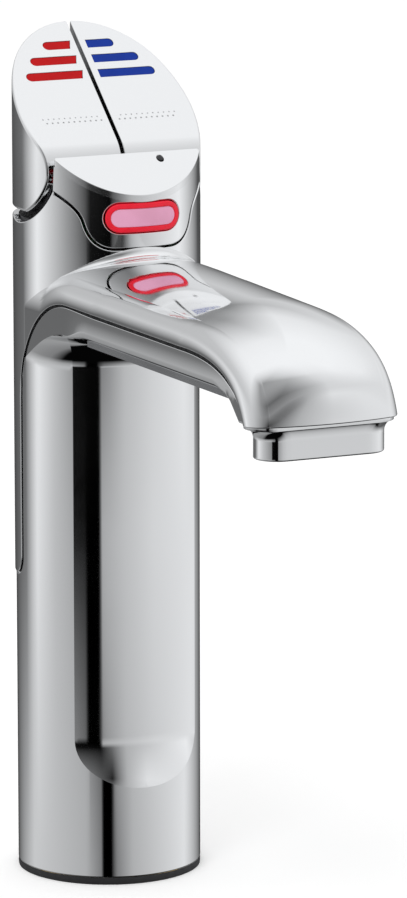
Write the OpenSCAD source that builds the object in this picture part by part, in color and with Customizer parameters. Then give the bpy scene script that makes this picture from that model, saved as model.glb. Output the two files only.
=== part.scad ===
// Deck-mounted tap for boiling and chilled water, with two press levers and a safety button.
// Origin: centre of the base on the worktop. +Z is up and the spout reaches towards -Y.
// The boiling lever is on the -X side and the chilled lever on the +X side.

/* [Column] */
// Diameter of the column
body_d = 60; // [59:0.5:61]
// Wall of the column casting
column_wall = 5; // [4.5:0.5:5.5]
// Thickness of the gasket under the column
gasket_t = 2.5; // [2:0.5:3]
// How far the outer shell stands proud of the column
shell_step = 0.4; // [0.3:0.1:0.5]
// Wall of the outer shell
shell_wall = 2; // [1.8:0.1:2.2]
// Height of the rear skirt's lower edge
skirt_z = 99.5; // [90:0.5:110]
// Width of the dark groove between the shell and the castings
groove_w = 0.8; // [0.6:0.1:1]

/* [Front recess] */
// Radius of the recessed front
recess_r = 38; // [37:0.5:39]
// Depth of the recess at the centre
recess_depth = 2.4; // [2:0.2:2.8]
// Height where the recess starts to run out
recess_z = 48; // [44:1:52]
// Length of the run-out
recess_runout = 16; // [12:1:18]

/* [Spout] */
// Reach of the spout's lip from the column's axis
spout_reach = 165; // [160:1:170]
// Height of the spout's flat top
spout_top = 202.3; // [201:0.1:203]
// Height of the spout's lip
lip_z = 176.5; // [176:0.1:177]
// Half width of the spout at the column's axis
root_half_w = 30.3; // [30:0.1:30.35]
// Half width of the spout at its lip
lip_half_w = 25.4; // [24.5:0.1:26]
// Rounding of the spout's top edges
edge_r = 8; // [7:0.5:8.5]
// Rounding of the spout's shoulders beside the head
shoulder_edge_r = 14; // [12:0.5:14.5]
// Distance from the spout's side to the crease where its top face starts
crease_in = 6; // [5.5:0.1:6.5]
// Rise of the spout's crown
crown = 0.8; // [0.4:0.1:1]
// Height of the groove along the spout's side
groove_z = 193.6; // [193:0.1:194]
// Height of the spout's underside
under_z = 183.5; // [183:0.1:184]
// Fillet between the spout's top and the head
blend_r = 7; // [6:0.5:8]
// Hollow curve between the column's front and the spout's underside
throat_r = 9; // [8:0.5:9]
// Rounding of the spout's lower edges
tray_edge_r = 3.5; // [3:0.1:4]

/* [Nozzle] */
// Width of the nozzle
nozzle_w = 42.6; // [41:0.2:44]
// Depth of the nozzle from front to back
nozzle_d = 14.5; // [14:0.1:15]
// Height of the nozzle's lower end
nozzle_z = 165.4; // [164:0.2:167]

/* [Head] */
// Overall height
overall_z = 276; // [275:0.5:277]
// Slope of the levers' top face in degrees
lever_slope = 39.9; // [39.5:0.1:40.2]
// Height of the levers' pivot
pivot_z = 235; // [234.8:0.1:235.2]
// Place of the levers' pivot behind the axis
pivot_y = 2; // [1.8:0.1:2.2]
// Radius of the pivot shaft
shaft_r = 3; // [2.8:0.1:3.2]
// Radius of the levers' round nose
nose_r = 16.5; // [16.3:0.1:16.7]
// Width of the slot between the levers
lever_gap = 1.3; // [1:0.1:1.6]
// Thickness of the levers' top plates
lever_top_t = 2.4; // [2:0.2:2.6]
// Slope of the cap plate in degrees
cap_slope = 38.7; // [38.4:0.1:39]
// Thickness of the cap plate
cap_t = 2.2; // [2:0.1:2.4]

/* [Button] */
// Width of the safety button
button_w = 26; // [24:0.5:27]
// Height of the safety button
button_h = 9.4; // [9:0.1:9.8]
// Height of the button's centre
button_z = 219.6; // [219:0.1:220]
// Width of the button's coloured rim
button_rim = 1.7; // [1.5:0.1:2]

/* [Water ways] */
// Outer radius of the water tubes
tube_r = 3; // [2.8:0.1:3]
// Bore radius of the water tubes
tube_bore = 2.2; // [2:0.1:2.2]
// Distance between neighbouring tubes
tube_pitch = 10; // [9.5:0.5:10]
// Distance between the two fixing threads
stud_pitch = 34; // [33:0.5:35]
// Radius of the fixing threads
stud_r = 3; // [2.5:0.5:3]
// Radius of the hose sockets
socket_r = 4; // [3.8:0.1:4]

/* [Hidden] */
$fn = 96;

// Small distances
fit = 0.05;       // radial clearance of a shaft or screw in its hole
slip = 0.1;       // clearance between two shells that slide together
clear = 0.3;      // clearance round a piece that moves
far = 100;        // longer than any section that is cut

// Column
body_r = body_d / 2;
bore_r = body_r - column_wall;
shell_r = body_r + shell_step;
shell_in_r = shell_r - shell_wall;
neck_r = shell_in_r - slip;
column_top = 204;
skirt_y = 1;
skirt_corner = 6;
arch_r = 35;
shoulder_z = 12;
shoulder_top = 17;
shoulder_r = 15.5;
port_y = 12;

// Spout: top line and groove line as straight stretches with a curve at the tip
tip_start = 115;
wall = shell_wall;
taper = (root_half_w - lip_half_w) / spout_reach;
taper_angle = atan(taper);
foot_y = -152.6;
blend_span = 58;
tray_wall = 3.9;
tray_floor = under_z + 2.5;
seat_z = lip_z - 0.4;
cover_start = -body_r - throat_r - 1;
top_curve = [[-tip_start, spout_top], [-142, spout_top],
             [5 - spout_reach, 190], [-spout_reach, lip_z]];
groove_curve = [[-tip_start, groove_z], [-140, groove_z + 0.4],
                [-151.5, 189], [7.6 - spout_reach, lip_z - 0.3]];

// Head
lever_k = tan(lever_slope);
lever_z0 = overall_z - shell_r * lever_k;
lever_under = 219.5;
rear_top = 217;
notch_r = nose_r + 2.8;
trough_r = nose_r + 0.9;
nose_round = 12;
cap_k = tan(cap_slope);
cap_y = -15.9;
cap_z = 238.4;
tower_x = 25.9;
seam_low = 209.9;
seam_gap = 0.7;
frame_floor = 214.7;
frame_y = -16.2;
frame_wall = 1.6;
ledge_t = 2;
cheek = [6, 10];
rib = [14, 17];
frame_screw = [14, 17];
board_z = 209.6;
board_t = 1.6;

// Nozzle
nozzle_y = -157.2;
insert_y = -156.4;
outlet_y = -154.5;
run_z = 189;
riser_y = 2;
bend_r = 13;

// A point of a cubic curve at t
function bezier(p, t) = pow(1 - t, 3) * p[0] + 3 * t * pow(1 - t, 2) * p[1]
    + 3 * t * t * (1 - t) * p[2] + pow(t, 3) * p[3];

// Half width of the spout at y
function half_w(y) = root_half_w + taper * y;

// Height of the lever face and of the cap face at y
function lever_face(y) = lever_z0 + lever_k * y;
function cap_face(y) = cap_z + cap_k * (y - cap_y);

// Lower edge of the shell's side beside the column: an arch up to the groove
function side_edge(y) = y < skirt_y - arch_r ? groove_z
    : groove_z - arch_r + sqrt(arch_r * arch_r - pow(y - skirt_y + arch_r, 2));

// Extrudes an outline drawn in (y, z) along X
module along_x(x0, x1)
    translate([x0, 0, 0])
        rotate([90, 0, 90])
            linear_extrude(x1 - x0)
                children();

// Extrudes an outline drawn in (x, z) along Y
module along_y(y0, y1)
    translate([0, y1, 0])
        rotate([90, 0, 0])
            linear_extrude(y1 - y0)
                children();

// A tube of outer radius r and inner radius r_in from z0 to z1
module ring(r, r_in, z0, z1)
    translate([0, 0, z0])
        difference() {
            cylinder(r = r, h = z1 - z0);
            translate([0, 0, -1])
                cylinder(r = r_in, h = z1 - z0 + 2);
        }

// A cylinder along X from x0 to x1 at (y, z)
module bar_x(r, x0, x1, y, z)
    translate([x0, y, z])
        rotate([0, 90, 0])
            cylinder(r = r, h = x1 - x0);

// Oblong outline of width w and height h
module oblong(w, h)
    union() {
        square([w - h, h], center = true);
        for (s = [-1, 1])
            translate([s * (w - h) / 2, 0])
                circle(d = h);
    }

// ---- side outlines, drawn in (y, z) ----

// The face of the lower castings: the column's front, the arch and the spout's side band
module casting_side() {
    curve = [for (i = [0:12]) bezier(groove_curve, i / 12)];
    union() {
        translate([-body_r - 2, 0])
            square([body_r + 2 + skirt_y, groove_z - arch_r]);
        translate([-tip_start, 0])
            square([tip_start + skirt_y - arch_r, groove_z]);
        translate([skirt_y - arch_r, groove_z - arch_r])
            circle(r = arch_r, $fn = 180);
        polygon(concat([[-tip_start + 1, 0]], [[-tip_start + 1, groove_z]], curve,
                       [[curve[12][0], 0]]));
        translate([-40, 0])
            square([80, skirt_z]);
        difference() {
            translate([skirt_y - 0.5, skirt_z - 0.5])
                square(skirt_corner + 0.5);
            translate([skirt_y + skirt_corner, skirt_z + skirt_corner])
                circle(r = skirt_corner);
        }
    }
}

// The head of the housing: straight at the back, round below the levers' noses
module head_side()
    difference() {
        union() {
            translate([-40, 0])
                square([80, rear_top]);
            translate([-40, rear_top - 1])
                square([36, 13]);
        }
        translate([pivot_y, pivot_z])
            circle(r = notch_r);
    }

// Points of an arc of radius r about c, from angle a0 to a1
function arc(c, r, a0, a1, steps) =
    [for (i = [0:steps]) let (a = a0 + (a1 - a0) * i / steps) c + r * [cos(a), sin(a)]];

// Side outline of a lever: slanted top, round nose and flat underside
module lever_side() {
    pivot = [pivot_y, pivot_z];
    // centre of the rounding that joins the slanted top to the nose
    n = (lever_face(pivot_y) - pivot_z) * cos(lever_slope) - nose_round;
    s = sqrt(pow(nose_r - nose_round, 2) - n * n);
    c = pivot + [-s * cos(lever_slope) - n * sin(lever_slope), n * cos(lever_slope) - s * sin(lever_slope)];
    face_dir = 90 + lever_slope;
    nose_dir = atan2(c[1] - pivot_z, c[0] - pivot_y) + 360;
    low = atan2(lever_under - pivot_z, -sqrt(nose_r * nose_r - pow(pivot_z - lever_under, 2))) + 360;
    polygon(concat(arc(c, nose_round, face_dir, nose_dir, 6),
                   arc(pivot, nose_r, nose_dir, low, 10),
                   [[32, lever_under], [32, lever_face(32)]]));
}

// ---- plan outlines, drawn in (x, y) ----

// Plan of the spout between y0 and y1, set in from its sides by inset
module spout_plan(inset, y0, y1)
    polygon([[-half_w(y0) + inset, y0], [half_w(y0) - inset, y0],
             [half_w(y1) - inset, y1], [-half_w(y1) + inset, y1]]);

// ---- the seam of the safety panel, drawn in (x, z) ----

module panel_outline() {
    upper = [[tower_x, 227.7], [22.5, 224.6], [19.8, 222.5], [18.6, 218.5]];
    lower = [[18.6, 218.5], [17.6, 214.2], [15.6, seam_low], [9.6, seam_low]];
    side = concat([[tower_x, 250]], [for (i = [0:6]) bezier(upper, i / 6)],
                  [for (i = [1:6]) bezier(lower, i / 6)]);
    last = len(side) - 1;
    polygon(concat(side, [for (i = [last:-1:0]) [-side[i][0], side[i][1]]]));
}

// ---- spout skin: one lofted shell from the column to the lip ----

// Spine stations, each with its top point and its lower edge. They lie closer together
// where the fillet rises to the head.
stations = concat(
    [for (y = [0, -6, -12, -16, -19, -21.5, -23.5, -25.5, -27.5, -29, -30.4, -31.4, -32.4,
               -33.6, -35, -36.5, -38, -60, -90])
        [[y, spout_top], [y, side_edge(y)]]],
    [for (i = [0:14]) [bezier(top_curve, i / 14), bezier(groove_curve, i / 14)]]);

// Rise of the fillet above the spout's top at (x, y), fading out to both sides
function blend_rise(x, y) =
    let (a = min(atan2(abs(x), -y), blend_span), f = blend_r * pow(cos(a * 90 / blend_span), 1.6),
         out = shell_r + f - norm([x, y]))
    out <= 0 || f < 0.2 ? 0 : f - sqrt(f * f - pow(min(out, f), 2));

// Half of a section of the skin, as (x, depth below the top) from the lower edge to the middle.
// The rounded edge stops short of the top face, which leaves a crease.
function skin_half(w, deep, inset, rise, edge) =
    let (e = min(edge, deep * 0.98), last = acos(max(1 - crease_in / e, 0.25)), r = e - inset,
         x = w - e + r * cos(last), drop = r * (1 - sin(last)))
    [for (p = concat([[w - inset, deep]],
                     [for (i = [0:7]) let (a = i * last / 7) [w - e + r * cos(a), e - r * sin(a)]],
                     [for (i = [7:-1:1]) [x * i / 8, inset + drop * pow(i / 8, 2)]]))
        [p[0], p[1] + rise * pow(p[0] / w, 2) * (1 - p[1] / deep)]];

function mirrored(side, inset) =
    let (last = len(side) - 1)
    concat(side, [[0, inset]], [for (i = [last:-1:0]) [-side[i][0], side[i][1]]]);

// Radius of the rounded edge at y: it grows from the spout to the shoulders
function edge_radius(y) =
    let (t = min(max((y + 60) / 44, 0), 1))
    edge_r + (shoulder_edge_r - edge_r) * t * t * (3 - 2 * t);

// One closed section: over the outside and back along the inside
function skin_ring(station) =
    let (top = station[0], deep = norm(station[1] - station[0]),
         dir = (station[1] - station[0]) / deep, w = half_w(top[0]), rise = min(crown, deep * 0.06),
         edge = edge_radius(top[0]), outer = mirrored(skin_half(w, deep, 0, rise, edge), 0),
         inner = mirrored(skin_half(w, deep, wall, rise, edge), wall), last = len(inner) - 1)
    concat([for (p = outer) [p[0], top[0] + p[1] * dir[0],
                             top[1] + p[1] * dir[1] + (p[1] < edge_r * 0.9 ? blend_rise(p[0], top[0]) : 0)]],
           [for (i = [last:-1:0]) let (p = inner[i]) [p[0], top[0] + p[1] * dir[0],
                                                     top[1] + p[1] * dir[1]]]);

// Two triangles for the four-sided patch a, b, c, d
function patch(a, b, c, d) = [[a, b, c], [a, c, d]];

// Flattens a list of lists by one level
function flat(lists) = [for (l = lists) for (item = l) item];

module spout_skin() {
    rings = [for (s = stations) skin_ring(s)];
    m = len(rings[0]);
    n = len(rings);
    half = m / 2;
    end = (n - 1) * m;
    polyhedron(
        points = flat(rings),
        faces = concat(
            flat([for (j = [0:half - 2]) patch(j, j + 1, m - 2 - j, m - 1 - j)]),
            flat([for (i = [0:n - 2]) for (j = [0:m - 1]) let (k = (j + 1) % m)
                patch(i * m + j, (i + 1) * m + j, (i + 1) * m + k, i * m + k)]),
            flat([for (j = [0:half - 2])
                patch(end + m - 1 - j, end + m - 2 - j, end + j + 1, end + j)])),
        convexity = 6);
}

// ---- castings and covers ----

// Ring-shaped cutter for the recessed front of the column
module front_recess() {
    runout_r = (recess_runout * recess_runout + recess_depth * recess_depth) / (2 * recess_depth);
    translate([0, recess_r + recess_depth - body_r, 0])
        rotate_extrude($fn = 180)
            union() {
                translate([recess_r, recess_z])
                    square([14, under_z - throat_r - recess_z]);
                intersection() {
                    translate([recess_r + runout_r, recess_z])
                        circle(r = runout_r, $fn = 360);
                    translate([recess_r, recess_z - recess_runout - 4])
                        square([14, recess_runout + 4.01]);
                }
            }
}

// Part of the lower casting that shows beside the shell, less the groove
module casting_zone(inset)
    along_x(-far, far)
        offset(delta = -inset)
            casting_side();

module spout_tray() {
    side = [[-1, under_z], [-143.5, under_z], [-146.8, 181.6], [foot_y, seat_z],
            [-170, seat_z], [-170, 196], [-1, 196]];
    difference() {
        intersection() {
            along_x(-far, far)
                polygon(side);
            union() {
                intersection() {
                    linear_extrude(200)
                        spout_plan(shell_step, -1, -163);
                    casting_zone(groove_w);
                }
                translate([0, 0, under_z])
                    linear_extrude(12)
                        spout_plan(wall + 0.5, -31, -124);
            }
        }
        for (s = [-1, 1])
            tray_rounding(s);
    }
}

// Cutter that rounds one lower edge of the tray
module tray_rounding(s)
    translate([s * (root_half_w - shell_step), 0, 0])
        rotate([0, 0, -s * taper_angle])
            translate([0, -170, 0])
                mirror([s < 0 ? 1 : 0, 0, 0])
                    along_y(0, 175)
                        difference() {
                            translate([-tray_edge_r, under_z - 2])
                                square([tray_edge_r + 3, tray_edge_r + 2]);
                            translate([-tray_edge_r, under_z + tray_edge_r])
                                circle(r = tray_edge_r);
                        }

// Flare of radius r at the top of the column: it turns outwards in a hollow curve
module flare(r)
    rotate_extrude($fn = 180)
        difference() {
            translate([10, under_z - throat_r])
                square([r + throat_r - 10, throat_r]);
            translate([r + throat_r, under_z - throat_r])
                circle(r = throat_r);
        }

// Hollow curve that joins the column and its recess to the spout's underside
module throat()
    intersection() {
        flare(body_r);
        translate([0, recess_r + recess_depth - body_r, 0])
            flare(recess_r);
        linear_extrude(200)
            spout_plan(shell_step, -1, -60);
        casting_zone(groove_w);
    }

module column_body()
    color("silver")
    difference() {
        union() {
            intersection() {
                translate([0, 0, gasket_t])
                    cylinder(r = body_r, h = column_top - gasket_t, $fn = 180);
                union() {
                    cylinder(r = neck_r, h = column_top);
                    casting_zone(groove_w);
                }
            }
            spout_tray();
            throat();
        }
        difference() {
            translate([0, 0, shoulder_top])
                cylinder(r = bore_r, h = column_top);
            for (s = [-1, 1])
                translate([s * frame_screw[0], frame_screw[1], column_top - 20])
                    cylinder(r = 5, h = 30);
        }
        cylinder(r = bore_r, h = shoulder_z);
        cylinder(r = shoulder_r, h = far);
        for (a = [90, 210, 330])
            rotate([0, 0, a])
                translate([20, 0, 0])
                    cylinder(r = 2 + fit, h = shoulder_top + 1);
        for (s = [-1, 1])
            translate([s * frame_screw[0], frame_screw[1], column_top - 16])
                cylinder(r = 2 + fit, h = 30);
        front_recess();
        // hollow of the spout, open to the column
        translate([0, 0, tray_floor])
            linear_extrude(20)
                spout_plan(tray_wall, -31, -144);
        translate([0, 0, lip_z - 6])
            linear_extrude(30)
                spout_plan(tray_wall, foot_y + 3, -156.8);
        along_x(-19, 19)
            polygon([[-18, tray_floor], [-150, tray_floor], [-150, column_top - 4],
                     [-18, column_top - 4]]);
        along_x(-tube_pitch - tube_r - 0.5, tube_pitch + tube_r + 0.5)
            tube_slot();
    }

// Room for the tubes where they bend down to the nozzle, drawn in (y, z)
module tube_slot()
    difference() {
        translate([outlet_y + bend_r, run_z - bend_r])
            intersection() {
                circle(r = bend_r + tube_r + 0.3);
                translate([-bend_r - tube_r - 1, -1])
                    square(bend_r + tube_r + 1);
            }
        translate([outlet_y + bend_r, run_z - bend_r])
            circle(r = bend_r - tube_r - 0.3);
    }

module upper_housing()
    color("gainsboro")
    difference() {
        union() {
            intersection() {
                translate([0, 0, skirt_z])
                    cylinder(r = shell_r, h = 140, $fn = 180);
                along_x(-far, far)
                    difference() {
                        head_side();
                        casting_side();
                    }
            }
            spout_skin();
        }
        difference() {
            cylinder(r = shell_in_r, h = 300);
            ring(shell_in_r + 1, bore_r, column_top, column_top + ledge_t);
            for (s = [-1, 1])
                translate([s * frame_screw[0], frame_screw[1], column_top])
                    cylinder(r = 5, h = ledge_t);
        }
        for (s = [-1, 1])
            translate([s * frame_screw[0], frame_screw[1], column_top - 1])
                cylinder(r = 2 + fit, h = 10);
        along_y(-40, -10)
            offset(r = seam_gap)
                panel_outline();
        along_x(-19, 19)
            polygon([[-35, tray_floor], [-15, tray_floor], [-15, column_top - 4.5],
                     [-35, column_top - 4.5]]);
    }

module spout_cover()
    color("darkgray")
    union() {
        translate([0, 0, under_z - 2.4])
            linear_extrude(2.4)
                spout_plan(4.5, cover_start, -142.5);
        bar_x(0.9, -20, 20, -137, under_z - 2.2);
    }

// The nozzle flares out to the lip through a hollow curve
module nozzle_slice(grow, z, t)
    translate([0, nozzle_y, z])
        linear_extrude(t)
            oblong(nozzle_w + 2 * grow, nozzle_d + min(grow, 0.6));

module outlet_nozzle() {
    flare = 3.2;
    flare_z = seat_z - flare - 1.2;
    color("silver")
    difference() {
        union() {
            nozzle_slice(0, nozzle_z, flare_z - nozzle_z + 0.01);
            for (i = [0:3])
                hull() {
                    nozzle_slice(flare - flare * cos(i * 90 / 4), flare_z + flare * sin(i * 90 / 4), 0.02);
                    nozzle_slice(flare - flare * cos((i + 1) * 90 / 4),
                                 flare_z + flare * sin((i + 1) * 90 / 4), 0.02);
                }
            nozzle_slice(flare, flare_z + flare, 1.2);
        }
        translate([0, insert_y, nozzle_z - 1])
            linear_extrude(20)
                oblong(nozzle_w - 4, 10.4);
    }
}

module outlet_insert()
    color("dimgray")
    difference() {
        translate([0, insert_y, nozzle_z + 1.2])
            linear_extrude(run_z - bend_r - nozzle_z - 1.2)
                oblong(nozzle_w - 4.2, 10.2);
        for (x = [-tube_pitch, 0, tube_pitch])
            translate([x, outlet_y, nozzle_z])
                cylinder(r = tube_bore, h = 20);
    }

module base_gasket()
    color("dimgray")
    ring(body_r, bore_r, 0, gasket_t);

module base_insert()
    color("peru")
    difference() {
        cylinder(r = bore_r - slip, h = shoulder_z);
        for (s = [-1, 1])
            translate([s * stud_pitch / 2, 0, -1])
                cylinder(r = stud_r, h = shoulder_z + 2);
        for (x = [-tube_pitch, 0, tube_pitch]) {
            translate([x, riser_y, -1])
                cylinder(r = socket_r, h = 8);
            translate([x, riser_y, 0])
                cylinder(r = tube_r + fit, h = shoulder_z + 1);
        }
        translate([0, port_y, -1])
            cylinder(r = 3, h = shoulder_z + 2);
        for (a = [90, 210, 330])
            rotate([0, 0, a])
                translate([20, 0, -1]) {
                    cylinder(r = 2 + fit, h = shoulder_z + 2);
                    cylinder(r = 3.8, h = 4);
                }
    }

module base_screws()
    color("gray")
    for (a = [90, 210, 330])
        rotate([0, 0, a])
            translate([20, 0, 0]) {
                translate([0, 0, 0.4])
                    cylinder(r = 3.6, h = 2.6);
                translate([0, 0, 3])
                    cylinder(r = 2, h = 13);
            }

module cable_grommet()
    color("dimgray")
    translate([0, port_y, 0])
        difference() {
            union() {
                translate([0, 0, 0.5])
                    cylinder(r = 3 - fit, h = shoulder_z - 0.5);
                translate([0, 0, shoulder_z])
                    cylinder(r = 3.3, h = 1.2);
            }
            translate([0, 0, -1])
                cylinder(r = 2.2, h = 20);
        }

module signal_lead()
    color("dimgray")
    translate([0, port_y, shoulder_z + 1.2])
        cylinder(r = 2.6, h = board_z - shoulder_z - 1.2);

// One water tube: riser, bend, run along the spout, bend and outlet
module water_tube(x, r) {
    translate([x, riser_y, 7])
        cylinder(r = r, h = run_z - bend_r - 7);
    translate([x, riser_y - bend_r, run_z - bend_r])
        rotate([90, 0, 90])
            rotate_extrude(angle = 90)
                translate([bend_r, 0])
                    circle(r = r);
    translate([x, riser_y - bend_r, run_z])
        rotate([90, 0, 0])
            cylinder(r = r, h = riser_y - outlet_y - 2 * bend_r);
    translate([x, outlet_y + bend_r, run_z - bend_r])
        rotate([90, 0, 90])
            rotate([0, 0, 90])
                rotate_extrude(angle = 90)
                    translate([bend_r, 0])
                        circle(r = r);
}

module bored_tube(x)
    difference() {
        water_tube(x, tube_r);
        water_tube(x, tube_bore);
    }

module boiling_tube() color("darkorange") bored_tube(-tube_pitch);
module vent_tube() color("burlywood") bored_tube(0);
module chilled_tube() color("steelblue") bored_tube(tube_pitch);

// ---- head: frame, shaft and springs ----

module frame_side() {
    // trough under the levers, then a flat floor to the back
    difference() {
        union() {
            translate([frame_y - frame_wall, frame_floor])
                square([frame_wall, cap_face(frame_y - frame_wall) - cap_t - frame_floor]);
            intersection() {
                translate([pivot_y, pivot_z])
                    circle(r = trough_r + 2);
                translate([frame_y - frame_wall, frame_floor])
                    square([20, 20]);
            }
            translate([-10, frame_floor])
                square([40, 2.2]);
        }
        translate([pivot_y, pivot_z])
            circle(r = trough_r);
    }
}

module cheek_side()
    union() {
        translate([pivot_y, pivot_z])
            circle(r = 6.5);
        polygon([[-4, frame_floor + 0.5], [12, frame_floor + 0.5],
                 [pivot_y + 6.4, pivot_z + 1], [pivot_y - 6.4, pivot_z + 1]]);
    }

module pivot_frame()
    color("lightslategray")
    difference() {
        union() {
            intersection() {
                cylinder(r = neck_r - 0.1, h = 300);
                along_x(-24.5, 24.5)
                    frame_side();
            }
            difference() {
                ring(neck_r - 0.1, bore_r, column_top + ledge_t, frame_floor + 2.2);
                along_y(-40, -10)
                    offset(r = seam_gap)
                        panel_outline();
            }
            for (s = [-1, 1]) {
                translate([s * frame_screw[0], frame_screw[1], column_top + ledge_t])
                    cylinder(r = 5, h = frame_floor - column_top - ledge_t + 1);
                along_x(s > 0 ? cheek[0] : -cheek[1], s > 0 ? cheek[1] : -cheek[0])
                    cheek_side();
                translate([s * 6, 20.2, board_z + board_t])
                    cylinder(r = 1.6, h = frame_floor + 0.5 - board_z - board_t);
            }
            // pads that carry the control board
            for (s = [-1, 1])
                along_x(s * 9 - 1.5, s * 9 + 1.5)
                    translate([-19, 222])
                        square([2, 3]);
        }
        for (s = [-1, 1])
            translate([s * frame_screw[0], frame_screw[1], 0]) {
                cylinder(r = 2 + fit, h = 300);
                translate([0, 0, frame_floor])
                    cylinder(r = 3.6, h = 10);
            }
        bar_x(shaft_r + fit, -20, 20, pivot_y, pivot_z);
        lamp_place()
            translate([0, 0, -8])
                cylinder(r = 1.1 + fit, h = 10);
    }

module frame_screws()
    color("gray")
    for (s = [-1, 1])
        translate([s * frame_screw[0], frame_screw[1], 0]) {
            translate([0, 0, frame_floor])
                cylinder(r = 3.5, h = 2);
            translate([0, 0, column_top - 14])
                cylinder(r = 2, h = frame_floor - column_top + 14.5);
        }

module pivot_shaft()
    color("gray")
    bar_x(shaft_r, -19, 19, pivot_y, pivot_z);

module shaft_clips()
    color("gray")
    for (s = [-1, 1])
        difference() {
            bar_x(5, min(s * 17.4, s * 18.4), max(s * 17.4, s * 18.4), pivot_y, pivot_z);
            bar_x(shaft_r + fit, -20, 20, pivot_y, pivot_z);
        }

// Torsion spring round the shaft: one leg stands on the frame, the other reaches to the lever
module torsion_spring() {
    turns = 2.25;
    pitch = 1.3;
    sides = 6;
    per_turn = 16;
    wire_r = 0.42;
    coil_r = shaft_r + 1;
    foot = frame_floor + 2.2 + 0.05 - pivot_z;
    n = turns * per_turn;
    // each ring lies across the wire at the angle a of its turn; t runs along the two legs
    steps = concat([[0, foot]], [for (i = [0:n]) [i, 0]], [[n, 8.5]]);
    rings = [for (s = steps) [for (j = [0:sides - 1])
        let (a = s[0] * 360 / per_turn, b = j * 360 / sides, r = coil_r + wire_r * cos(b))
        [10.65 + s[0] * pitch / per_turn + wire_r * sin(b),
         pivot_y + r * cos(a) - s[1] * sin(a), pivot_z + r * sin(a) + s[1] * cos(a)]]];
    last = len(rings) - 1;
    polyhedron(
        points = flat(rings),
        faces = concat(
            [[for (j = [0:sides - 1]) j]],
            flat([for (i = [0:last - 1]) for (j = [0:sides - 1]) let (k = (j + 1) % sides)
                patch(i * sides + j, (i + 1) * sides + j, (i + 1) * sides + k, i * sides + k)]),
            [[for (j = [sides - 1:-1:0]) last * sides + j]]),
        convexity = 8);
}

module boiling_spring() color("dimgray") mirror([1, 0, 0]) torsion_spring();
module chilled_spring() color("dimgray") torsion_spring();

module sensor_board()
    color("seagreen")
    difference() {
        translate([-11, 10, board_z])
            cube([22, 12, board_t]);
        for (s = [-1, 1])
            translate([s * frame_screw[0], frame_screw[1], board_z - 1])
                cylinder(r = 5.3, h = 4);
    }

module lever_sensors()
    color("black")
    for (s = [-1, 1])
        translate([s * 7.5 - 1.5, 15.5, board_z + board_t])
            cube([3, 3, 2]);

// ---- front of the head ----

module safety_panel()
    color("silver")
    difference() {
        intersection() {
            ring(shell_r, shell_in_r, 200, 250);
            along_y(-40, -10)
                panel_outline();
            along_x(-far, far)
                polygon([[-40, 200], [cap_y, 200], [cap_y, cap_face(cap_y) - cap_t],
                         [-40, cap_face(-40) - cap_t]]);
        }
        along_y(-40, -20)
            translate([0, button_z])
                oblong(button_w + 2 * clear, button_h + 2 * clear);
    }

module cap_plate()
    color("whitesmoke")
    difference() {
        intersection() {
            translate([0, 0, 200])
                cylinder(r = shell_r, h = 60, $fn = 180);
            along_x(-far, far)
                polygon([[-40, cap_face(-40)], [cap_y, cap_face(cap_y)],
                         [cap_y, cap_face(cap_y) - cap_t], [-40, cap_face(-40) - cap_t]]);
        }
        lamp_place()
            translate([0, 0, -8])
                cylinder(r = 1.1 + fit, h = 10);
    }

// Frame of the filter lamp, on the cap's face and square to it
module lamp_place()
    translate([10.7, -18.4, cap_face(-18.4)])
        rotate([cap_slope, 0, 0])
            children();

module filter_lamp()
    color("black")
    lamp_place()
        translate([0, 0, -4])
            cylinder(r = 1.1, h = 4.2);

module control_board()
    color("seagreen")
    translate([-14, -20.6, 211])
        cube([28, 1.6, 16]);

module safety_switch()
    color("black")
    union() {
        translate([-3, -22.4, button_z - 3])
            cube([6, 1.8, 6]);
        translate([0, -22.4, button_z])
            rotate([90, 0, 0])
                cylinder(r = 1.5, h = 0.8);
    }

module button_lamps()
    color("red")
    for (s = [-1, 1])
        translate([s * 8 - 1.5, -21.8, button_z - 1.2])
            cube([3, 1.2, 2.4]);

// ---- safety button ----

module button_face(w, h, y_back, r_front)
    intersection() {
        along_y(-40, y_back)
            translate([0, button_z])
                oblong(w, h);
        translate([0, 0, 200])
            cylinder(r = r_front, h = 40, $fn = 180);
    }

module safety_button()
    color("red")
    difference() {
        union() {
            button_face(button_w, button_h, -26, shell_r + 0.5);
            button_face(button_w, button_h + 2, -24.5, shell_in_r - 2);
        }
        along_y(-40, -20)
            translate([0, button_z])
                oblong(button_w - 2 * button_rim, button_h - 2 * button_rim);
    }

module button_lens()
    color("pink")
    union() {
        button_face(button_w - 2 * button_rim - 2 * fit, button_h - 2 * button_rim - 2 * fit,
                    -25.5, shell_r + 0.3);
        translate([0, -26, button_z])
            rotate([-90, 0, 0])
                cylinder(r = 1.5, h = 1.5);
    }

// ---- levers ----

module lever_half(s)
    intersection() {
        translate([0, 0, 200])
            cylinder(r = shell_r - 0.1, h = 100, $fn = 180);
        along_x(s > 0 ? lever_gap / 2 : -far, s > 0 ? far : -lever_gap / 2)
            lever_side();
    }

// Hollow of a lever, open below and crossed by the outer rib
module lever_hollow(s) {
    x0 = lever_gap / 2 + 2;
    difference() {
        intersection() {
            translate([0, 0, 200])
                cylinder(r = shell_in_r - 0.1, h = 100);
            along_x(s > 0 ? x0 : -far, s > 0 ? far : -x0)
                union() {
                    offset(delta = -lever_top_t)
                        lever_side();
                    translate([-6, lever_under - 5])
                        square([40, 12]);
                }
        }
        along_x(min(s * rib[0], s * rib[1]), max(s * rib[0], s * rib[1]))
            polygon([[-20, 220.5], [26, 220.5], [26, 280], [-20, 280]]);
    }
}

// Places a shape drawn on the levers' top face at (x, y)
module on_lever(x, y)
    translate([x, y, lever_face(y)])
        rotate([lever_slope, 0, 0])
            children();

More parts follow.
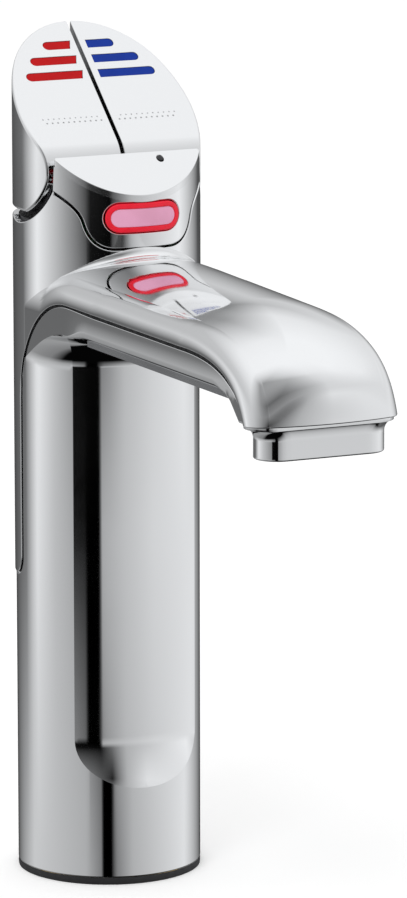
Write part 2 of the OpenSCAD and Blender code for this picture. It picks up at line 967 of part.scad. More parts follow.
// Bars let into the levers, a little below their face: round outer ends, and ends beside the
// slot that slant and reach nearer to it on the boiling side
bar_ends = [12.4, 19, 22.6];
bar_start = [2.4, 3];
bar_h = 3.4;
bar_deep = 0.75;
bar_below = 0.15;
bar_slant = 1.1;

module bars(s, grow, z0, z1)
    for (i = [0:2])
        on_lever(0, 22.1 - 5.05 * i)
            translate([0, 0, z0])
                linear_extrude(z1 - z0)
                    let (h = bar_h / 2 + grow, x = bar_ends[i] - bar_h / 2,
                         start = bar_start[s < 0 ? 0 : 1] - grow, slant = s < 0 ? bar_slant : 0)
                        union() {
                            polygon([[s * (start + slant), -h], [s * x, -h], [s * x, h], [s * start, h]]);
                            translate([s * x, 0])
                                circle(r = h, $fn = 32);
                        }

module lever(s)
    difference() {
        lever_half(s);
        lever_hollow(s);
        bar_x(shaft_r + fit, -20, 20, pivot_y, pivot_z);
        bars(s, fit, -bar_deep, 1);
        bar_x(2 + fit, min(s * 13, s * 18), max(s * 13, s * 18), 20, 224);
    }

module boiling_lever() color("whitesmoke") lever(-1);
module chilled_lever() color("whitesmoke") lever(1);
module boiling_bars() color("firebrick") bars(-1, 0, -bar_deep, -bar_below);
module chilled_bars() color("royalblue") bars(1, 0, -bar_deep, -bar_below);

module magnet(s)
    bar_x(2, min(s * rib[0], s * rib[1]), max(s * rib[0], s * rib[1]), 20, 224);

module boiling_magnet() color("gray") magnet(-1);
module chilled_magnet() color("gray") magnet(1);

column_body();
upper_housing();
spout_cover();
outlet_nozzle();
outlet_insert();
base_gasket();
base_insert();
base_screws();
cable_grommet();
signal_lead();
boiling_tube();
vent_tube();
chilled_tube();
pivot_frame();
frame_screws();
pivot_shaft();
shaft_clips();
boiling_spring();
chilled_spring();
sensor_board();
lever_sensors();
safety_panel();
cap_plate();
filter_lamp();
control_board();
safety_switch();
button_lamps();
safety_button();
button_lens();
boiling_lever();
boiling_bars();
boiling_magnet();
chilled_lever();
chilled_bars();
chilled_magnet();
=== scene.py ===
"""Looks of the boiling water tap: finishes, fine edges and the studio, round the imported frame.

Sizes are in millimetres in the frame's own axes and turned into metres when a mesh is made.
The spout reaches towards -Y, the boiling lever is on the -X side.
"""

import math

import bpy
import numpy as np
from mathutils import Matrix, Vector
from mathutils.geometry import delaunay_2d_cdt

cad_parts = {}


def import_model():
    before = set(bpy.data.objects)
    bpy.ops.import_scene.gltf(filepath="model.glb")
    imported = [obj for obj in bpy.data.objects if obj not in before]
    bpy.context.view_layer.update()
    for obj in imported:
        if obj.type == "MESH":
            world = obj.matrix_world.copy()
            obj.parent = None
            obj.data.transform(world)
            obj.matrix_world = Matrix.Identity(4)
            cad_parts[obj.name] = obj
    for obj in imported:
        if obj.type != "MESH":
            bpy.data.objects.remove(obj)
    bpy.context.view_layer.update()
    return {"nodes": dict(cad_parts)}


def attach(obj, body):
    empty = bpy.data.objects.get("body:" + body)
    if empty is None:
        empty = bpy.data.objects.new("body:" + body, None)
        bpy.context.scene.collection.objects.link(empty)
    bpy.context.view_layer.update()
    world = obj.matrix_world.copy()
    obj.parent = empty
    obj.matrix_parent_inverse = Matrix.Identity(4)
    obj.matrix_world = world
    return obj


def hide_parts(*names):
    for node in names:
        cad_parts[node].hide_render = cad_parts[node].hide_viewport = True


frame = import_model()

MM = 0.001

# ---- driving sizes ----
# As in the CAD, but for these: the bend in TOP_CURVE, BARREL, SIDE_LEAN, BLEND_R, THROAT_R, TIP_EDGE_R,
# SPOUT_GROOVE_W, CAP_CORNER and the roundings of the levers' edges.

BODY_R = 30.0
SHELL_R = 30.4
SHELL_WALL = 2.0
NECK_R = 28.3
GASKET_T = 2.5
SKIRT_Z = 99.5
SKIRT_Y = 1.0
SKIRT_CORNER = 6.0
ARCH_R = 35.0
GROOVE_W = 0.8              # beside the column
SPOUT_GROOVE_W = 1.2        # beside the spout
GROOVE_Z = 193.6
UNDER_Z = 183.5
COLUMN_TOP = 204.0

RECESS_R = 38.0
RECESS_DEPTH = 2.4
RECESS_Z = 48.0
RECESS_RUNOUT = 16.0
THROAT_R = 12.5

SPOUT_REACH = 165.0
SPOUT_TOP = 202.3
LIP_Z = 176.5
SEAT_Z = LIP_Z - 0.4
TIP_START = 115.0
SKIN_START = 3.0           # the spout's skin starts this far in front of the column's axis
ROOT_HALF_W = 30.3
LIP_HALF_W = 25.4
TAPER = (ROOT_HALF_W - LIP_HALF_W) / SPOUT_REACH
CROWN = 0.8
EDGE_R = 8.0
SHOULDER_EDGE_R = 14.0
TIP_EDGE_R = 12.0
CREASE_IN = 6.0
SHOULDER_FADE = (-60, -16)  # y where the shoulder's larger edge rounding begins and is full
TIP_FADE = (-110, -150)     # the same for the tip's
BLEND_R = 3.2
BARREL = (4.5, 2.4)         # how far the middle of the top face stands out: at the root, at the lip
BLEND_SPAN = math.radians(58)
FOOT = [(-152.6, SEAT_Z), (-146.8, 181.6), (-143.5, UNDER_Z)]   # underside behind the nozzle
TRAY_EDGE_R = 3.5
SIDE_LEAN = 0.007
FLAT_Y = -32                # the flat side of the lower half starts here
TOP_CURVE = [(-TIP_START, SPOUT_TOP), (-152, SPOUT_TOP), (2 - SPOUT_REACH, 191.5), (-SPOUT_REACH, LIP_Z)]
GROOVE_CURVE = [(-TIP_START, GROOVE_Z), (-140, GROOVE_Z + 0.4), (-151.5, 189),
                (7.6 - SPOUT_REACH, LIP_Z - 0.3)]

OVERALL_Z = 276.0
LEVER_SLOPE = math.radians(39.9)
LEVER_K = math.tan(LEVER_SLOPE)
LEVER_Z0 = OVERALL_Z - SHELL_R * LEVER_K
LEVER_R = SHELL_R
LEVER_GAP = 1.3
LEVER_UNDER = 219.5
LEVER_RIM = (0.25, 1.0)     # rounding of the levers' rim: at the back and at the front
SLOT_EDGE = 0.25
PIVOT = (2.0, 235.0)
NOSE_R = 16.5
NOSE_ROUND = 12.0
NOSE_FOOT_Y = -3.6         # where the nose runs into the levers' underside
NOTCH_R = NOSE_R + 2.8
REAR_TOP = 217.0
CAP_K = math.tan(math.radians(38.7))
CAP_Y = -15.9
CAP_Z = 238.4
CAP_T = 2.2
CAP_CORNER = 0.7
TOWER_X = 25.9
SEAM_LOW = 209.9
SEAM_GAP = 0.7
SEAM_UPPER = [(TOWER_X, 227.7), (22.5, 224.6), (19.8, 222.5), (18.6, 218.5)]
SEAM_LOWER = [(18.6, 218.5), (17.6, 214.2), (15.6, SEAM_LOW), (9.6, SEAM_LOW)]

BUTTON_W = 26.0
BUTTON_H = 9.4
BUTTON_Z = 219.6
BUTTON_RIM = 1.7
BUTTON_PROUD = 0.5
LENS_PROUD = 0.3

BAR_ENDS = (12.4, 19.0, 22.6)
DOTS = 11                   # dots in a row
DOT_STEP = 1.9
DOT_START = 3.2             # first dot of the lower row: distance from the slot's middle
DOT_ROWS = [(-4.6, 0.34), (-2.9, 0.26)]     # place up the slanted face, radius
CHILLED_ENDS = (3.0, 0.0)   # inner ends of the bars: distance from the slot's middle, and slant
BOILING_ENDS = (2.4, 1.1)
BAR_H = 3.4
BAR_TOP_Y = 22.1
BAR_STEP = 5.05

NOZZLE_W = 42.6
NOZZLE_D = 14.5
NOZZLE_Z = 165.4
NOZZLE_Y = -157.2
NOZZLE_FLARE = 3.2

EDGE = 0.4          # small rounding of free edges
FINE = 0.22         # small rounding of the edges beside the groove
STEP = 1.8          # spacing of the points inside a triangulated face


# ---- curves ----

def bezier(p, t):
    """A point of a cubic curve."""
    s = 1 - t
    return np.array([s**3 * a + 3 * t * s * s * b + 3 * t * t * s * c + t**3 * d
                     for a, b, c, d in zip(*p)])


def curve(p, steps):
    return [tuple(bezier(p, i / steps)) for i in range(steps + 1)]


def arc(centre, r, start, end, steps):
    """Points of an arc; angles in degrees."""
    return [(centre[0] + r * math.cos(math.radians(start + (end - start) * i / steps)),
             centre[1] + r * math.sin(math.radians(start + (end - start) * i / steps)))
            for i in range(steps + 1)]


def resample(points, step):
    """The same polyline with extra points, so that no piece of it is longer than step."""
    out = [points[0]]
    for a, b in zip(points, points[1:]):
        n = max(1, math.ceil(math.dist(a, b) / step))
        out += [(a[0] + (b[0] - a[0]) * i / n, a[1] + (b[1] - a[1]) * i / n) for i in range(1, n + 1)]
    return out


def fade(v, start, end):
    """Rises smoothly from 0 where v is start to 1 where it is end."""
    t = min(max((v - start) / (end - start), 0.0), 1.0)
    return t * t * (3 - 2 * t)


def bisect(lo, hi, holds, rounds=30):
    """The value between lo and hi up to which the test holds."""
    for _ in range(rounds):
        mid = (lo + hi) / 2
        lo, hi = (mid, hi) if holds(mid) else (lo, mid)
    return lo


def lever_face(y):
    return LEVER_Z0 + LEVER_K * y


def cap_face(y):
    return CAP_Z + CAP_K * (y - CAP_Y)


def unit(v):
    v = np.asarray(v, float)
    return v / max(np.linalg.norm(v), 1e-12)


def ring(r, z, turns):
    """Points round the column's axis; angles from -Y, in radians."""
    return [(r * math.sin(t), -r * math.cos(t), z) for t in turns]


def new_object(name, data):
    obj = bpy.data.objects.new(name, data)
    bpy.context.scene.collection.objects.link(obj)
    return obj


# ---- meshes ----

class Shape:
    """Points, normals and faces of one piece, gathered from several surfaces."""

    def __init__(self):
        self.points, self.normals, self.faces = [], [], []

    def add(self, points, normals, faces):
        base = len(self.points)
        self.points += [tuple(p) for p in points]
        self.normals += [tuple(unit(n)) for n in normals]
        self.faces += [tuple(base + i for i in f) for f in faces]

    def grid(self, rows, normals, closed=False):
        """Joins rows of points, each as long as the next."""
        m = len(rows[0])
        span = m if closed else m - 1
        faces = [(i * m + j, i * m + (j + 1) % m, (i + 1) * m + (j + 1) % m, (i + 1) * m + j)
                 for i in range(len(rows) - 1) for j in range(span)]
        self.add([p for r in rows for p in r], [n for r in normals for n in r], faces)

    def mirrored(self):
        """The same shape on the other side of x = 0."""
        flip = Shape()
        flip.points = [(-x, y, z) for x, y, z in self.points]
        flip.normals = [(-x, y, z) for x, y, z in self.normals]
        flip.faces = list(self.faces)
        return flip

    def join(self, other):
        self.add(other.points, other.normals, other.faces)


def with_mirror(half):
    """A half and its mirror image as one shape."""
    shape = Shape()
    shape.join(half)
    shape.join(half.mirrored())
    return shape


def oriented(shape):
    """Faces turned so that each one agrees with the normals of its own points."""
    points, normals = np.array(shape.points), np.array(shape.normals)
    out = []
    for f in shape.faces:
        corner = points[list(f)]
        across = np.cross(corner[1] - corner[0], corner[2] - corner[0])
        if len(f) == 4:
            across = np.cross(corner[2] - corner[0], corner[3] - corner[1])
        size = np.linalg.norm(across)
        if size < 1e-9:
            continue
        out.append(tuple(f) if across @ normals[list(f)].sum(0) > 0 else tuple(reversed(f)))
    return out


def piece(name, shape, body, nodes, slot_name, look=None):
    """Makes the object, sets it on its body and hides the CAD nodes that it stands for."""
    mesh = bpy.data.meshes.new(name)
    mesh.from_pydata([(x * MM, y * MM, z * MM) for x, y, z in shape.points], [], oriented(shape))
    mesh.update()
    mesh.polygons.foreach_set("use_smooth", [True] * len(mesh.polygons))
    mesh.normals_split_custom_set_from_vertices(shape.normals)
    mesh.materials.append(finish[look or slot_name])
    obj = new_object(name, mesh)
    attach(obj, body)
    if nodes:
        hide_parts(*nodes)
    return obj


# ---- surfaces with rounded edges, drawn on a flat chart (a, b) ----

def cylinder_chart(r):
    """Chart of a cylinder: a runs round it from -Y, b is the height."""
    def place(a, b, depth):
        t = a / SHELL_R
        return ((r - depth) * math.sin(t), -(r - depth) * math.cos(t), b)
    return place


def chart_angle(x, r):
    """Place on the chart, right of the middle, of a point of the front at x."""
    return SHELL_R * math.asin(max(-1.0, min(1.0, x / r)))


def side_angle(y, r):
    """Place on the chart of a point of the +X side at y."""
    return SHELL_R * math.acos(max(-1.0, min(1.0, -y / r)))


def chart_normal(place, a, b):
    """Normal of the surface at (a, b), away from the depth."""
    h = 0.02
    u = np.subtract(place(a + h, b, 0), place(a - h, b, 0))
    v = np.subtract(place(a, b + h, 0), place(a, b - h, 0))
    n = unit(np.cross(u, v))
    out = np.subtract(place(a, b, 0), place(a, b, 0.5))
    return n if n @ out > 0 else -n


def inward(points, closed):
    """Unit normals of a polyline, on its left side."""
    n = len(points)
    out = []
    for i, here in enumerate(points):
        before = points[i - 1] if closed or i > 0 else here
        after = points[(i + 1) % n] if closed or i < n - 1 else here
        total = np.zeros(2)
        for p, q in ((before, here), (here, after)):
            d = np.subtract(q, p)
            if np.linalg.norm(d) > 1e-9:
                total += unit((-d[1], d[0]))
        out.append(unit(total))
    return out


def inside(loops, x, y):
    """True for a point inside an odd number of loops."""
    odd = False
    for loop in loops:
        px, py = loop[:, 0], loop[:, 1]
        qx, qy = np.roll(px, -1), np.roll(py, -1)
        crosses = (py > y) != (qy > y)
        if crosses.any():
            share = (y - py[crosses]) / (qy[crosses] - py[crosses])
            at = px[crosses] + share * (qx[crosses] - px[crosses])
            odd ^= bool((at > x).sum() % 2)
    return odd


def filled(shape, place, loops, normal=None, step=STEP):
    """Fills the loops of a chart with well-shaped triangles and puts them on the surface."""
    loops = [np.array(l, float) for l in loops]
    verts, edges = [], []
    for loop in loops:
        base = len(verts)
        verts += [Vector(p) for p in loop]
        edges += [(base + i, base + (i + 1) % len(loop)) for i in range(len(loop))]
    rim = np.vstack(loops)
    lo, hi = rim.min(0), rim.max(0)
    spots = [(a, b) for a in np.arange(lo[0] + step / 2, hi[0], step)
             for b in np.arange(lo[1] + step / 2, hi[1], step)] if step else []
    for p in spots:
        gap = np.hypot(rim[:, 0] - p[0], rim[:, 1] - p[1]).min()
        if gap > min(step, 1.2) * 0.45 and inside(loops, *p):
            verts.append(Vector(p))
    flat, _, tris, *_ = delaunay_2d_cdt(verts, edges, [], 0, 1e-6)
    keep = []
    for t in tris:
        mid = sum((flat[i] for i in t), Vector((0, 0))) / len(t)
        if inside(loops, mid.x, mid.y):
            keep.append(tuple(t))
    normals = [chart_normal(place, p.x, p.y) if normal is None else normal for p in flat]
    shape.add([place(p.x, p.y, 0) for p in flat], normals, keep)


def rounded_chain(shape, place, points, bevel, wall, closed=False, steps=4):
    """Rounds the edge along a chain of chart points and adds the wall below it.

    The solid lies left of the chain. Returns the chain moved in to where the face starts.
    """
    radii = bevel if isinstance(bevel, list) else [bevel] * len(points)
    walls = wall if isinstance(wall, list) else [wall] * len(points)
    turn = inward(points, closed)
    rows, normals = [], []
    for k in range(-1, steps + 1):
        phi = math.radians(90 * max(k, 0) / steps)
        row, row_n = [], []
        for (a, b), n, r, low in zip(points, turn, radii, walls):
            moved = (1 - math.cos(phi)) * r
            depth = low if k < 0 else (1 - math.sin(phi)) * r
            at = (a + n[0] * moved, b + n[1] * moved)
            row.append(place(at[0], at[1], depth))
            up = chart_normal(place, *at)
            da, db = 0.05 * n
            aside = np.subtract(place(a - da, b - db, 0), place(a + da, b + db, 0))
            down = unit(np.subtract(place(*at, 0.5), place(*at, 0)))
            aside = unit(aside - down * (aside @ down))
            row_n.append(math.cos(phi) * aside + math.sin(phi) * up)
        rows.append(row)
        normals.append(row_n)
    shape.grid(rows, normals, closed)
    return [(a + n[0] * r, b + n[1] * r) for (a, b), n, r in zip(points, turn, radii)]


# ---- spout ----

SIDE_SHARE = 0.18       # shares of a section's parameter: the side ends here
CREASE_SHARE = 0.45     # and the rounded edge ends here
SPINE_FOLD = 0.42       # share of the spine's parameter that its straight stretch takes
TINY = 1e-4


def edge_radius(y):
    shoulder = (SHOULDER_EDGE_R - EDGE_R) * fade(y, *SHOULDER_FADE)
    return EDGE_R + shoulder + (TIP_EDGE_R - EDGE_R) * fade(y, *TIP_FADE)


def arch(y, r):
    """Height of the groove's arch beside the column, at radius r."""
    return GROOVE_Z - ARCH_R + math.sqrt(max(r * r - (y - SKIRT_Y + ARCH_R)**2, 0))


def side_edge(y):
    """Lower edge of the shell beside the column and along the spout."""
    return GROOVE_Z if y < SKIRT_Y - ARCH_R else arch(y, ARCH_R)


def blend_rise(x, y):
    """Rise of the fillet above the spout's top, fading out to both sides."""
    a = min(math.atan2(abs(x), -y), BLEND_SPAN)
    f = BLEND_R * max(math.cos(a * math.pi / 2 / BLEND_SPAN), 0.0) ** 1.6
    out = SHELL_R + f - math.hypot(x, y)
    if out <= 0 or f < 0.02:
        return 0.0
    return f - math.sqrt(max(f * f - min(out, f) ** 2, 0.0))


def shell_half_w(y):
    """Half width of the shell: a straight side that leaves the round head without a step."""
    return SHELL_R * math.sqrt(1 + TAPER**2) + TAPER * y


def section_point(w, deep, edge, barrel, s):
    """Half of a section as (x, depth): s runs from 0 at the lower edge to 1 in the middle."""
    e = min(edge, deep * 0.98)
    last = math.acos(max(1 - CREASE_IN / e, 0.25))
    if s <= SIDE_SHARE:
        x, d = w, deep + (e - deep) * s / SIDE_SHARE
    elif s <= CREASE_SHARE:
        a = last * (s - SIDE_SHARE) / (CREASE_SHARE - SIDE_SHARE)
        x, d = w - e + e * math.cos(a), e - e * math.sin(a)
    else:
        t = (1 - s) / (1 - CREASE_SHARE)
        x, d = (w - e + e * math.cos(last)) * t, e * (1 - math.sin(last)) * t * t - barrel * (1 - t * t)
    return x, d + min(CROWN, deep * 0.06) * (x / w) ** 2 * (1 - d / deep)


def spine(u):
    """Top point and lower edge of the spout's section at u, from 0 at the root to 1 at the lip."""
    if u < SPINE_FOLD:
        y = -TIP_START * u / SPINE_FOLD
        return np.array([y, SPOUT_TOP]), np.array([y, side_edge(y)])
    t = (u - SPINE_FOLD) / (1 - SPINE_FOLD)
    return bezier(TOP_CURVE, t), bezier(GROOVE_CURVE, t)


def skin_at(u, s):
    """A point of the +X half of the spout's skin."""
    top, low = spine(u)
    length = np.linalg.norm(low - top)
    deep = length - FINE
    barrel = BARREL[0] + (BARREL[1] - BARREL[0]) * fade(u, 0.8, 1.0)
    x, d = section_point(shell_half_w(top[0]), deep, edge_radius(top[0]), barrel, s)
    y, z = top + (low - top) / length * d
    if d < EDGE_R * 0.9 and u < SPINE_FOLD:
        z += blend_rise(x, y)
    return np.array([x, y, z])


def skin_normal(u, s, above):
    """Normal of the skin; above picks the side of the crease that it is taken on."""
    u_far = u + TINY if u < 1 - TINY else u - TINY
    if s >= 1:
        s_far = s - TINY
    else:
        s_far = s + TINY if above or s < TINY else s - TINY
    here = skin_at(u, s)
    du = (skin_at(u_far, s) - here) * (1 if u_far > u else -1)
    ds = (skin_at(u, s_far) - here) * (1 if s_far > s else -1)
    return -unit(np.cross(du, ds))


def root_u(s):
    """Where the skin at s leaves the round head."""
    return bisect(0.0, SPINE_FOLD * 0.5, lambda u: math.hypot(*skin_at(u, s)[:2]) < SHELL_R - 0.01)


def crest(x):
    """Height of the skin where it meets the round head at x."""
    s = bisect(0.0, 1.0, lambda s: skin_at(root_u(s), s)[0] > abs(x))
    return skin_at(root_u(s), s)[2]


def rim_return(shape, edge, before, normals, r):
    """Rounds a free edge of a sheet with radius r and gives it a wall."""
    rows, rows_n = [[] for _ in range(5)], [[] for _ in range(5)]
    for e, b, n in zip(edge, before, normals):
        n = unit(n)
        out = unit(np.subtract(e, b))
        out = unit(out - n * (out @ n))
        for k in range(4):
            phi = math.radians(30 * k)
            rows[k].append(e + r * (out * math.sin(phi) + n * (math.cos(phi) - 1)))
            rows_n[k].append(n * math.cos(phi) + out * math.sin(phi))
        rows[4].append(e + r * out - n * SHELL_WALL)
        rows_n[4].append(out)
    shape.grid(rows, rows_n)


def skin_sheet():
    """The +X half of the outer skin, with its lower edge and its lip."""
    shape = Shape()
    below = ([SIDE_SHARE * i / 3 for i in range(3)]
             + [SIDE_SHARE + (CREASE_SHARE - SIDE_SHARE) * i / 14 for i in range(15)])
    above = [CREASE_SHARE + (1 - CREASE_SHARE) * i / 26 for i in range(27)]
    near_root = [0.12 * (i / 26) ** 1.6 for i in range(26)]
    grow = near_root + [0.12 + 0.88 * i / 74 for i in range(75)]
    lip = [[], [], []]
    for s_values, top in ((below, False), (above, True)):
        rows, normals = [], []
        for s in s_values:
            u0 = max(root_u(s), SKIN_START * SPINE_FOLD / TIP_START)
            stops = [u0 + (1 - u0) * g for g in grow]
            rows.append([skin_at(u, s) for u in stops])
            normals.append([skin_normal(u, s, top) for u in stops])
        shape.grid(rows, normals)
        lip[0] += [r[-1] for r in rows]
        lip[1] += [r[-2] for r in rows]
        lip[2] += [n[-1] for n in normals]
        if not top:
            rim_return(shape, rows[0], rows[1], normals[0], FINE)
    rim_return(shape, *lip, EDGE)
    return shape


# ---- housing ----

def panel_side(offset, steps=14):
    """Seam of the safety panel on the right, from the bottom to the top, moved out by offset."""
    upper = curve(SEAM_UPPER, steps)
    lower = curve(SEAM_LOWER, steps)
    points = [(0.0, SEAM_LOW), (5.0, SEAM_LOW)] + list(reversed(upper + lower[1:]))
    turn = inward(points, False)
    return [(max(x - n[0] * offset, 0.0), z - n[1] * offset) for (x, z), n in zip(points, turn)]


def skirt_line(r, gap, edge, stop, steps):
    """Line along the groove on the +X side: from the back, up the skirt's front and into the arch.

    r is the radius of the piece and gap its distance from the groove's upper edge. edge gives the
    arch's height, which is followed forwards to where y is stop.
    """
    centre = (SKIRT_Y + SKIRT_CORNER, SKIRT_Z + SKIRT_CORNER)
    front = side_angle(SKIRT_Y - gap, r)
    low = SKIRT_Z - gap
    return (resample([(math.pi * SHELL_R, low), (side_angle(centre[0], r), low)], 2.5)
            + [(side_angle(y, r), z) for y, z in arc(centre, SKIRT_CORNER + gap, 270, 180, 8)[1:]]
            + resample([(front, centre[1]), (front, GROOVE_Z - ARCH_R)], 3)[1:]
            + [(side_angle(y, r), edge(y)) for y in np.linspace(SKIRT_Y - gap, stop, steps)[1:]])


def head_top():
    """Upper edge of the head on the +X side: up the front seam, round the notch, to the back."""
    r = SHELL_R
    seam = [(chart_angle(x, r), z) for x, z in panel_side(SEAM_GAP)]
    notch = [(side_angle(y, r), z) for y, z in arc(PIVOT, NOTCH_R, 200, 291, 60)]
    seam = [p for p in seam if p[1] < REAR_TOP or p[1] < np.interp(p[0], *zip(*notch))]
    notch = [p for p in notch if p[0] > seam[-1][0] + 0.2]
    return seam + notch + resample([(notch[-1][0] + 0.3, REAR_TOP), (math.pi * r, REAR_TOP)], 2.5)


def mirror_points(points):
    return [(-a, b) for a, b in points]


def upper_housing():
    shape = Shape()
    place = cylinder_chart(SHELL_R)
    foot = skirt_line(SHELL_R, 0, side_edge, -SKIN_START, 12)
    top = head_top()
    end = foot[-1][0]
    hidden = [(end * (i / 12 - 1), 0) for i in range(1, 24)]
    hidden = [(a, crest(SHELL_R * math.sin(a / SHELL_R)) - 1.2) for a, _ in hidden]
    left = rounded_chain(shape, place, mirror_points(foot), FINE, SHELL_WALL)
    right = rounded_chain(shape, place, foot[::-1], FINE, SHELL_WALL)
    rim = rounded_chain(shape, place, top[::-1] + mirror_points(top[1:]), EDGE, SHELL_WALL)
    seam_up = resample([right[-1], rim[0]], 2.5)[1:-1]
    seam_down = resample([rim[-1], left[0]], 2.5)[1:-1]
    filled(shape, place, [left + hidden + right + seam_up + rim + seam_down])
    skin = skin_sheet()
    shape.join(skin)
    shape.join(skin.mirrored())
    return shape


# ---- column and the lower half of the spout ----

CASTING_IN = SHELL_R - BODY_R
RECESS_C = RECESS_R + RECESS_DEPTH - BODY_R
FLARE_Z = UNDER_Z - THROAT_R


def flare(z):
    """How far the hollow curve under the spout stands out at z."""
    t = min(max(z - FLARE_Z, 0.0), THROAT_R - 0.02)
    return THROAT_R - math.sqrt(THROAT_R**2 - t * t)


def recess_radius(z):
    """Radius of the recessed front about its own axis, with the run-out below and the flare above."""
    runout = (RECESS_RUNOUT**2 + RECESS_DEPTH**2) / (2 * RECESS_DEPTH)
    t = min(max(RECESS_Z - z, 0.0), RECESS_RUNOUT)
    return RECESS_R + flare(z) + runout - math.sqrt(runout**2 - t * t)


def recess_edge(z):
    """Angle from the front at which the recess meets the round body."""
    body, front = BODY_R + flare(z), recess_radius(z)
    return math.acos(min(1.0, (front**2 - body**2 - RECESS_C**2) / (2 * body * RECESS_C)))


def column_chart(rho):
    """Chart of the column, whose radius at an angle and a height is rho."""
    def place(a, b, depth):
        t = a / SHELL_R
        r = rho(t, b) - depth
        return (r * math.sin(t), -r * math.cos(t), b)
    return place


def body_rho(_t, z):
    return BODY_R + flare(z)


def recess_rho(t, z):
    return -RECESS_C * math.cos(t) + math.sqrt(recess_radius(z)**2 - (RECESS_C * math.sin(t))**2)


def tray_x(y, z=GROOVE_Z):
    """Half width of the spout's lower half, whose sides lean in a little towards the bottom."""
    lean = SIDE_LEAN * (GROOVE_Z - max(z, UNDER_Z)) ** 2
    return shell_half_w(y) - CASTING_IN - lean * fade(y, FLAT_Y, FLAT_Y - 16)


def gusset_y(z):
    """Where the flare meets the flat side of the spout at height z."""
    r = BODY_R + flare(z)
    return bisect(-r, 0.0, lambda y: math.hypot(tray_x(y, z), y) > r, 40)


def casting_edge(y):
    """Upper edge of the castings beside the groove, which widens along the spout."""
    end = SKIRT_Y - ARCH_R
    if y > end:
        return arch(y, ARCH_R - GROOVE_W)
    return GROOVE_Z - GROOVE_W - (SPOUT_GROOVE_W - GROOVE_W) * fade(y, end, end - 20)


def column_half(shape):
    """Round body and recess of the +X side, as one loop each."""
    body, front = column_chart(body_rho), column_chart(recess_rho)
    heights = ([RECESS_Z - RECESS_RUNOUT + RECESS_RUNOUT * (i / 14) ** 1.5 for i in range(15)]
               + list(np.arange(52, FLARE_Z, 4)) + [FLARE_Z + THROAT_R * i / 14 for i in range(15)])
    border = [(SHELL_R * recess_edge(z), z) for z in heights]
    base = resample([(0, GASKET_T), (math.pi * SHELL_R, GASKET_T)], 2.5)
    base_in = rounded_chain(shape, body, base, EDGE, 1.5)
    base_in[0], base_in[-1] = (0.0, base_in[0][1]), (math.pi * SHELL_R, base_in[-1][1])
    edge = skirt_line(BODY_R, GROOVE_W, casting_edge, gusset_y(FLARE_Z) - 0.3, 8)
    edge_in = rounded_chain(shape, body, edge, FINE, SHELL_WALL)
    edge_in[0] = (math.pi * SHELL_R, edge_in[0][1])
    gusset = [(SHELL_R * math.atan2(tray_x(gusset_y(z), z), -gusset_y(z)), z)
              for z in np.linspace(edge_in[-1][1], UNDER_Z, 16)[1:]]
    top = resample([gusset[-1], border[-1]], 2)[1:-1]
    front_line = resample([(0, border[0][1]), (0, base_in[0][1])], 2.5)[1:-1]
    back_line = resample([base_in[-1], edge_in[0]], 2.5)[1:-1]
    filled(shape, body, [base_in + back_line + edge_in + gusset + top + border[::-1] + front_line],
           step=2.4)
    middle = resample([(0, UNDER_Z), (0, border[0][1])], 2.5)[1:-1]
    filled(shape, front, [border + resample([border[-1], (0, UNDER_Z)], 2)[1:] + middle], step=2.0)


def tray_chart(y, z, depth):
    """Flat side of the spout's lower half: a is y and b is z."""
    return (tray_x(y, z) - depth, y, z)


def tray_half(shape, shade_strip):
    """Flat side of the lower half, its rounded lower edge, its underside and a dark strip in the groove,
    which is painted shade.
    """
    tip = [bezier(GROOVE_CURVE, i / 30) for i in range(31)]
    turn = inward([tuple(p) for p in tip], False)
    tip = [(p[0] + n[0] * SPOUT_GROOVE_W, p[1] + n[1] * SPOUT_GROOVE_W) for p, n in zip(tip, turn)]
    tip = [p for p in tip if p[1] > SEAT_Z + 0.5]
    low_y = gusset_y(FLARE_Z)
    groove = ([(y, casting_edge(y)) for y in np.linspace(low_y, SKIRT_Y - ARCH_R, 24)]
              + [(y, casting_edge(y)) for y in np.linspace(SKIRT_Y - ARCH_R, tip[0][0], 28)[1:]]
              + tip[1:])
    flared = [(gusset_y(z), z) for z in np.linspace(UNDER_Z - 0.01, FLARE_Z, 16)]
    lower = resample([(tip[-1][0] + 0.3, SEAT_Z), *FOOT, (-36, UNDER_Z), flared[0]], 2.5)
    radii, walls = [], []
    for y, _z in lower:
        r = 0.8 + (TRAY_EDGE_R - 0.8) * fade(y, -144, -136)
        radii.append(FINE + (r - FINE) * fade(y, FLAT_Y, FLAT_Y - 13))
        walls.append(tray_x(y))
    low_in = rounded_chain(shape, tray_chart, lower, radii, walls, steps=8)
    high_in = rounded_chain(shape, tray_chart, groove, FINE, 2.3)
    filled(shape, tray_chart, [high_in + low_in + flared[1:]], step=2.5)
    # a dark strip 1.4 mm down the groove: painted shade that blackens the gap, not a part of the tap
    turn = inward(groove, False)
    rows = [[tray_chart(y + n[0] * k, z + n[1] * k, 1.4) for (y, z), n in zip(groove, turn)]
            for k in (0.6, -3.0)]
    shade_strip.grid(rows, [[(1, 0, 0)] * len(groove)] * 2)


def column_body():
    """The casting, and apart from it a dark strip of painted shade in the groove between it and the
    spout's skin.
    """
    half, shade_strip = Shape(), Shape()
    column_half(half)
    tray_half(half, shade_strip)
    # the neck that shows as the groove's floor, clear of the recess
    for z0, t0, t1 in ((92, 50, 180), (188, 28, 50)):
        turns = [math.radians(t0 + (t1 - t0) * i / 40) for i in range(41)]
        half.grid([ring(NECK_R, z, turns) for z in (z0, COLUMN_TOP)], [ring(1, 0, turns)] * 2)
    return with_mirror(half), with_mirror(shade_strip)


# ---- levers ----

FACE_NORMAL = np.array([0, -math.sin(LEVER_SLOPE), math.cos(LEVER_SLOPE)])
INWARDS = np.array([-1.0, 0, 0])            # from the +X lever towards the slot
SLOT_X = LEVER_GAP / 2 + SLOT_EDGE


def face_chart(a, b, depth):
    """Slanted face of the levers: a is x and b runs up the slope from y = 0."""
    c, s = math.cos(LEVER_SLOPE), math.sin(LEVER_SLOPE)
    return (a, b * c + depth * s, LEVER_Z0 + b * s - depth * c)


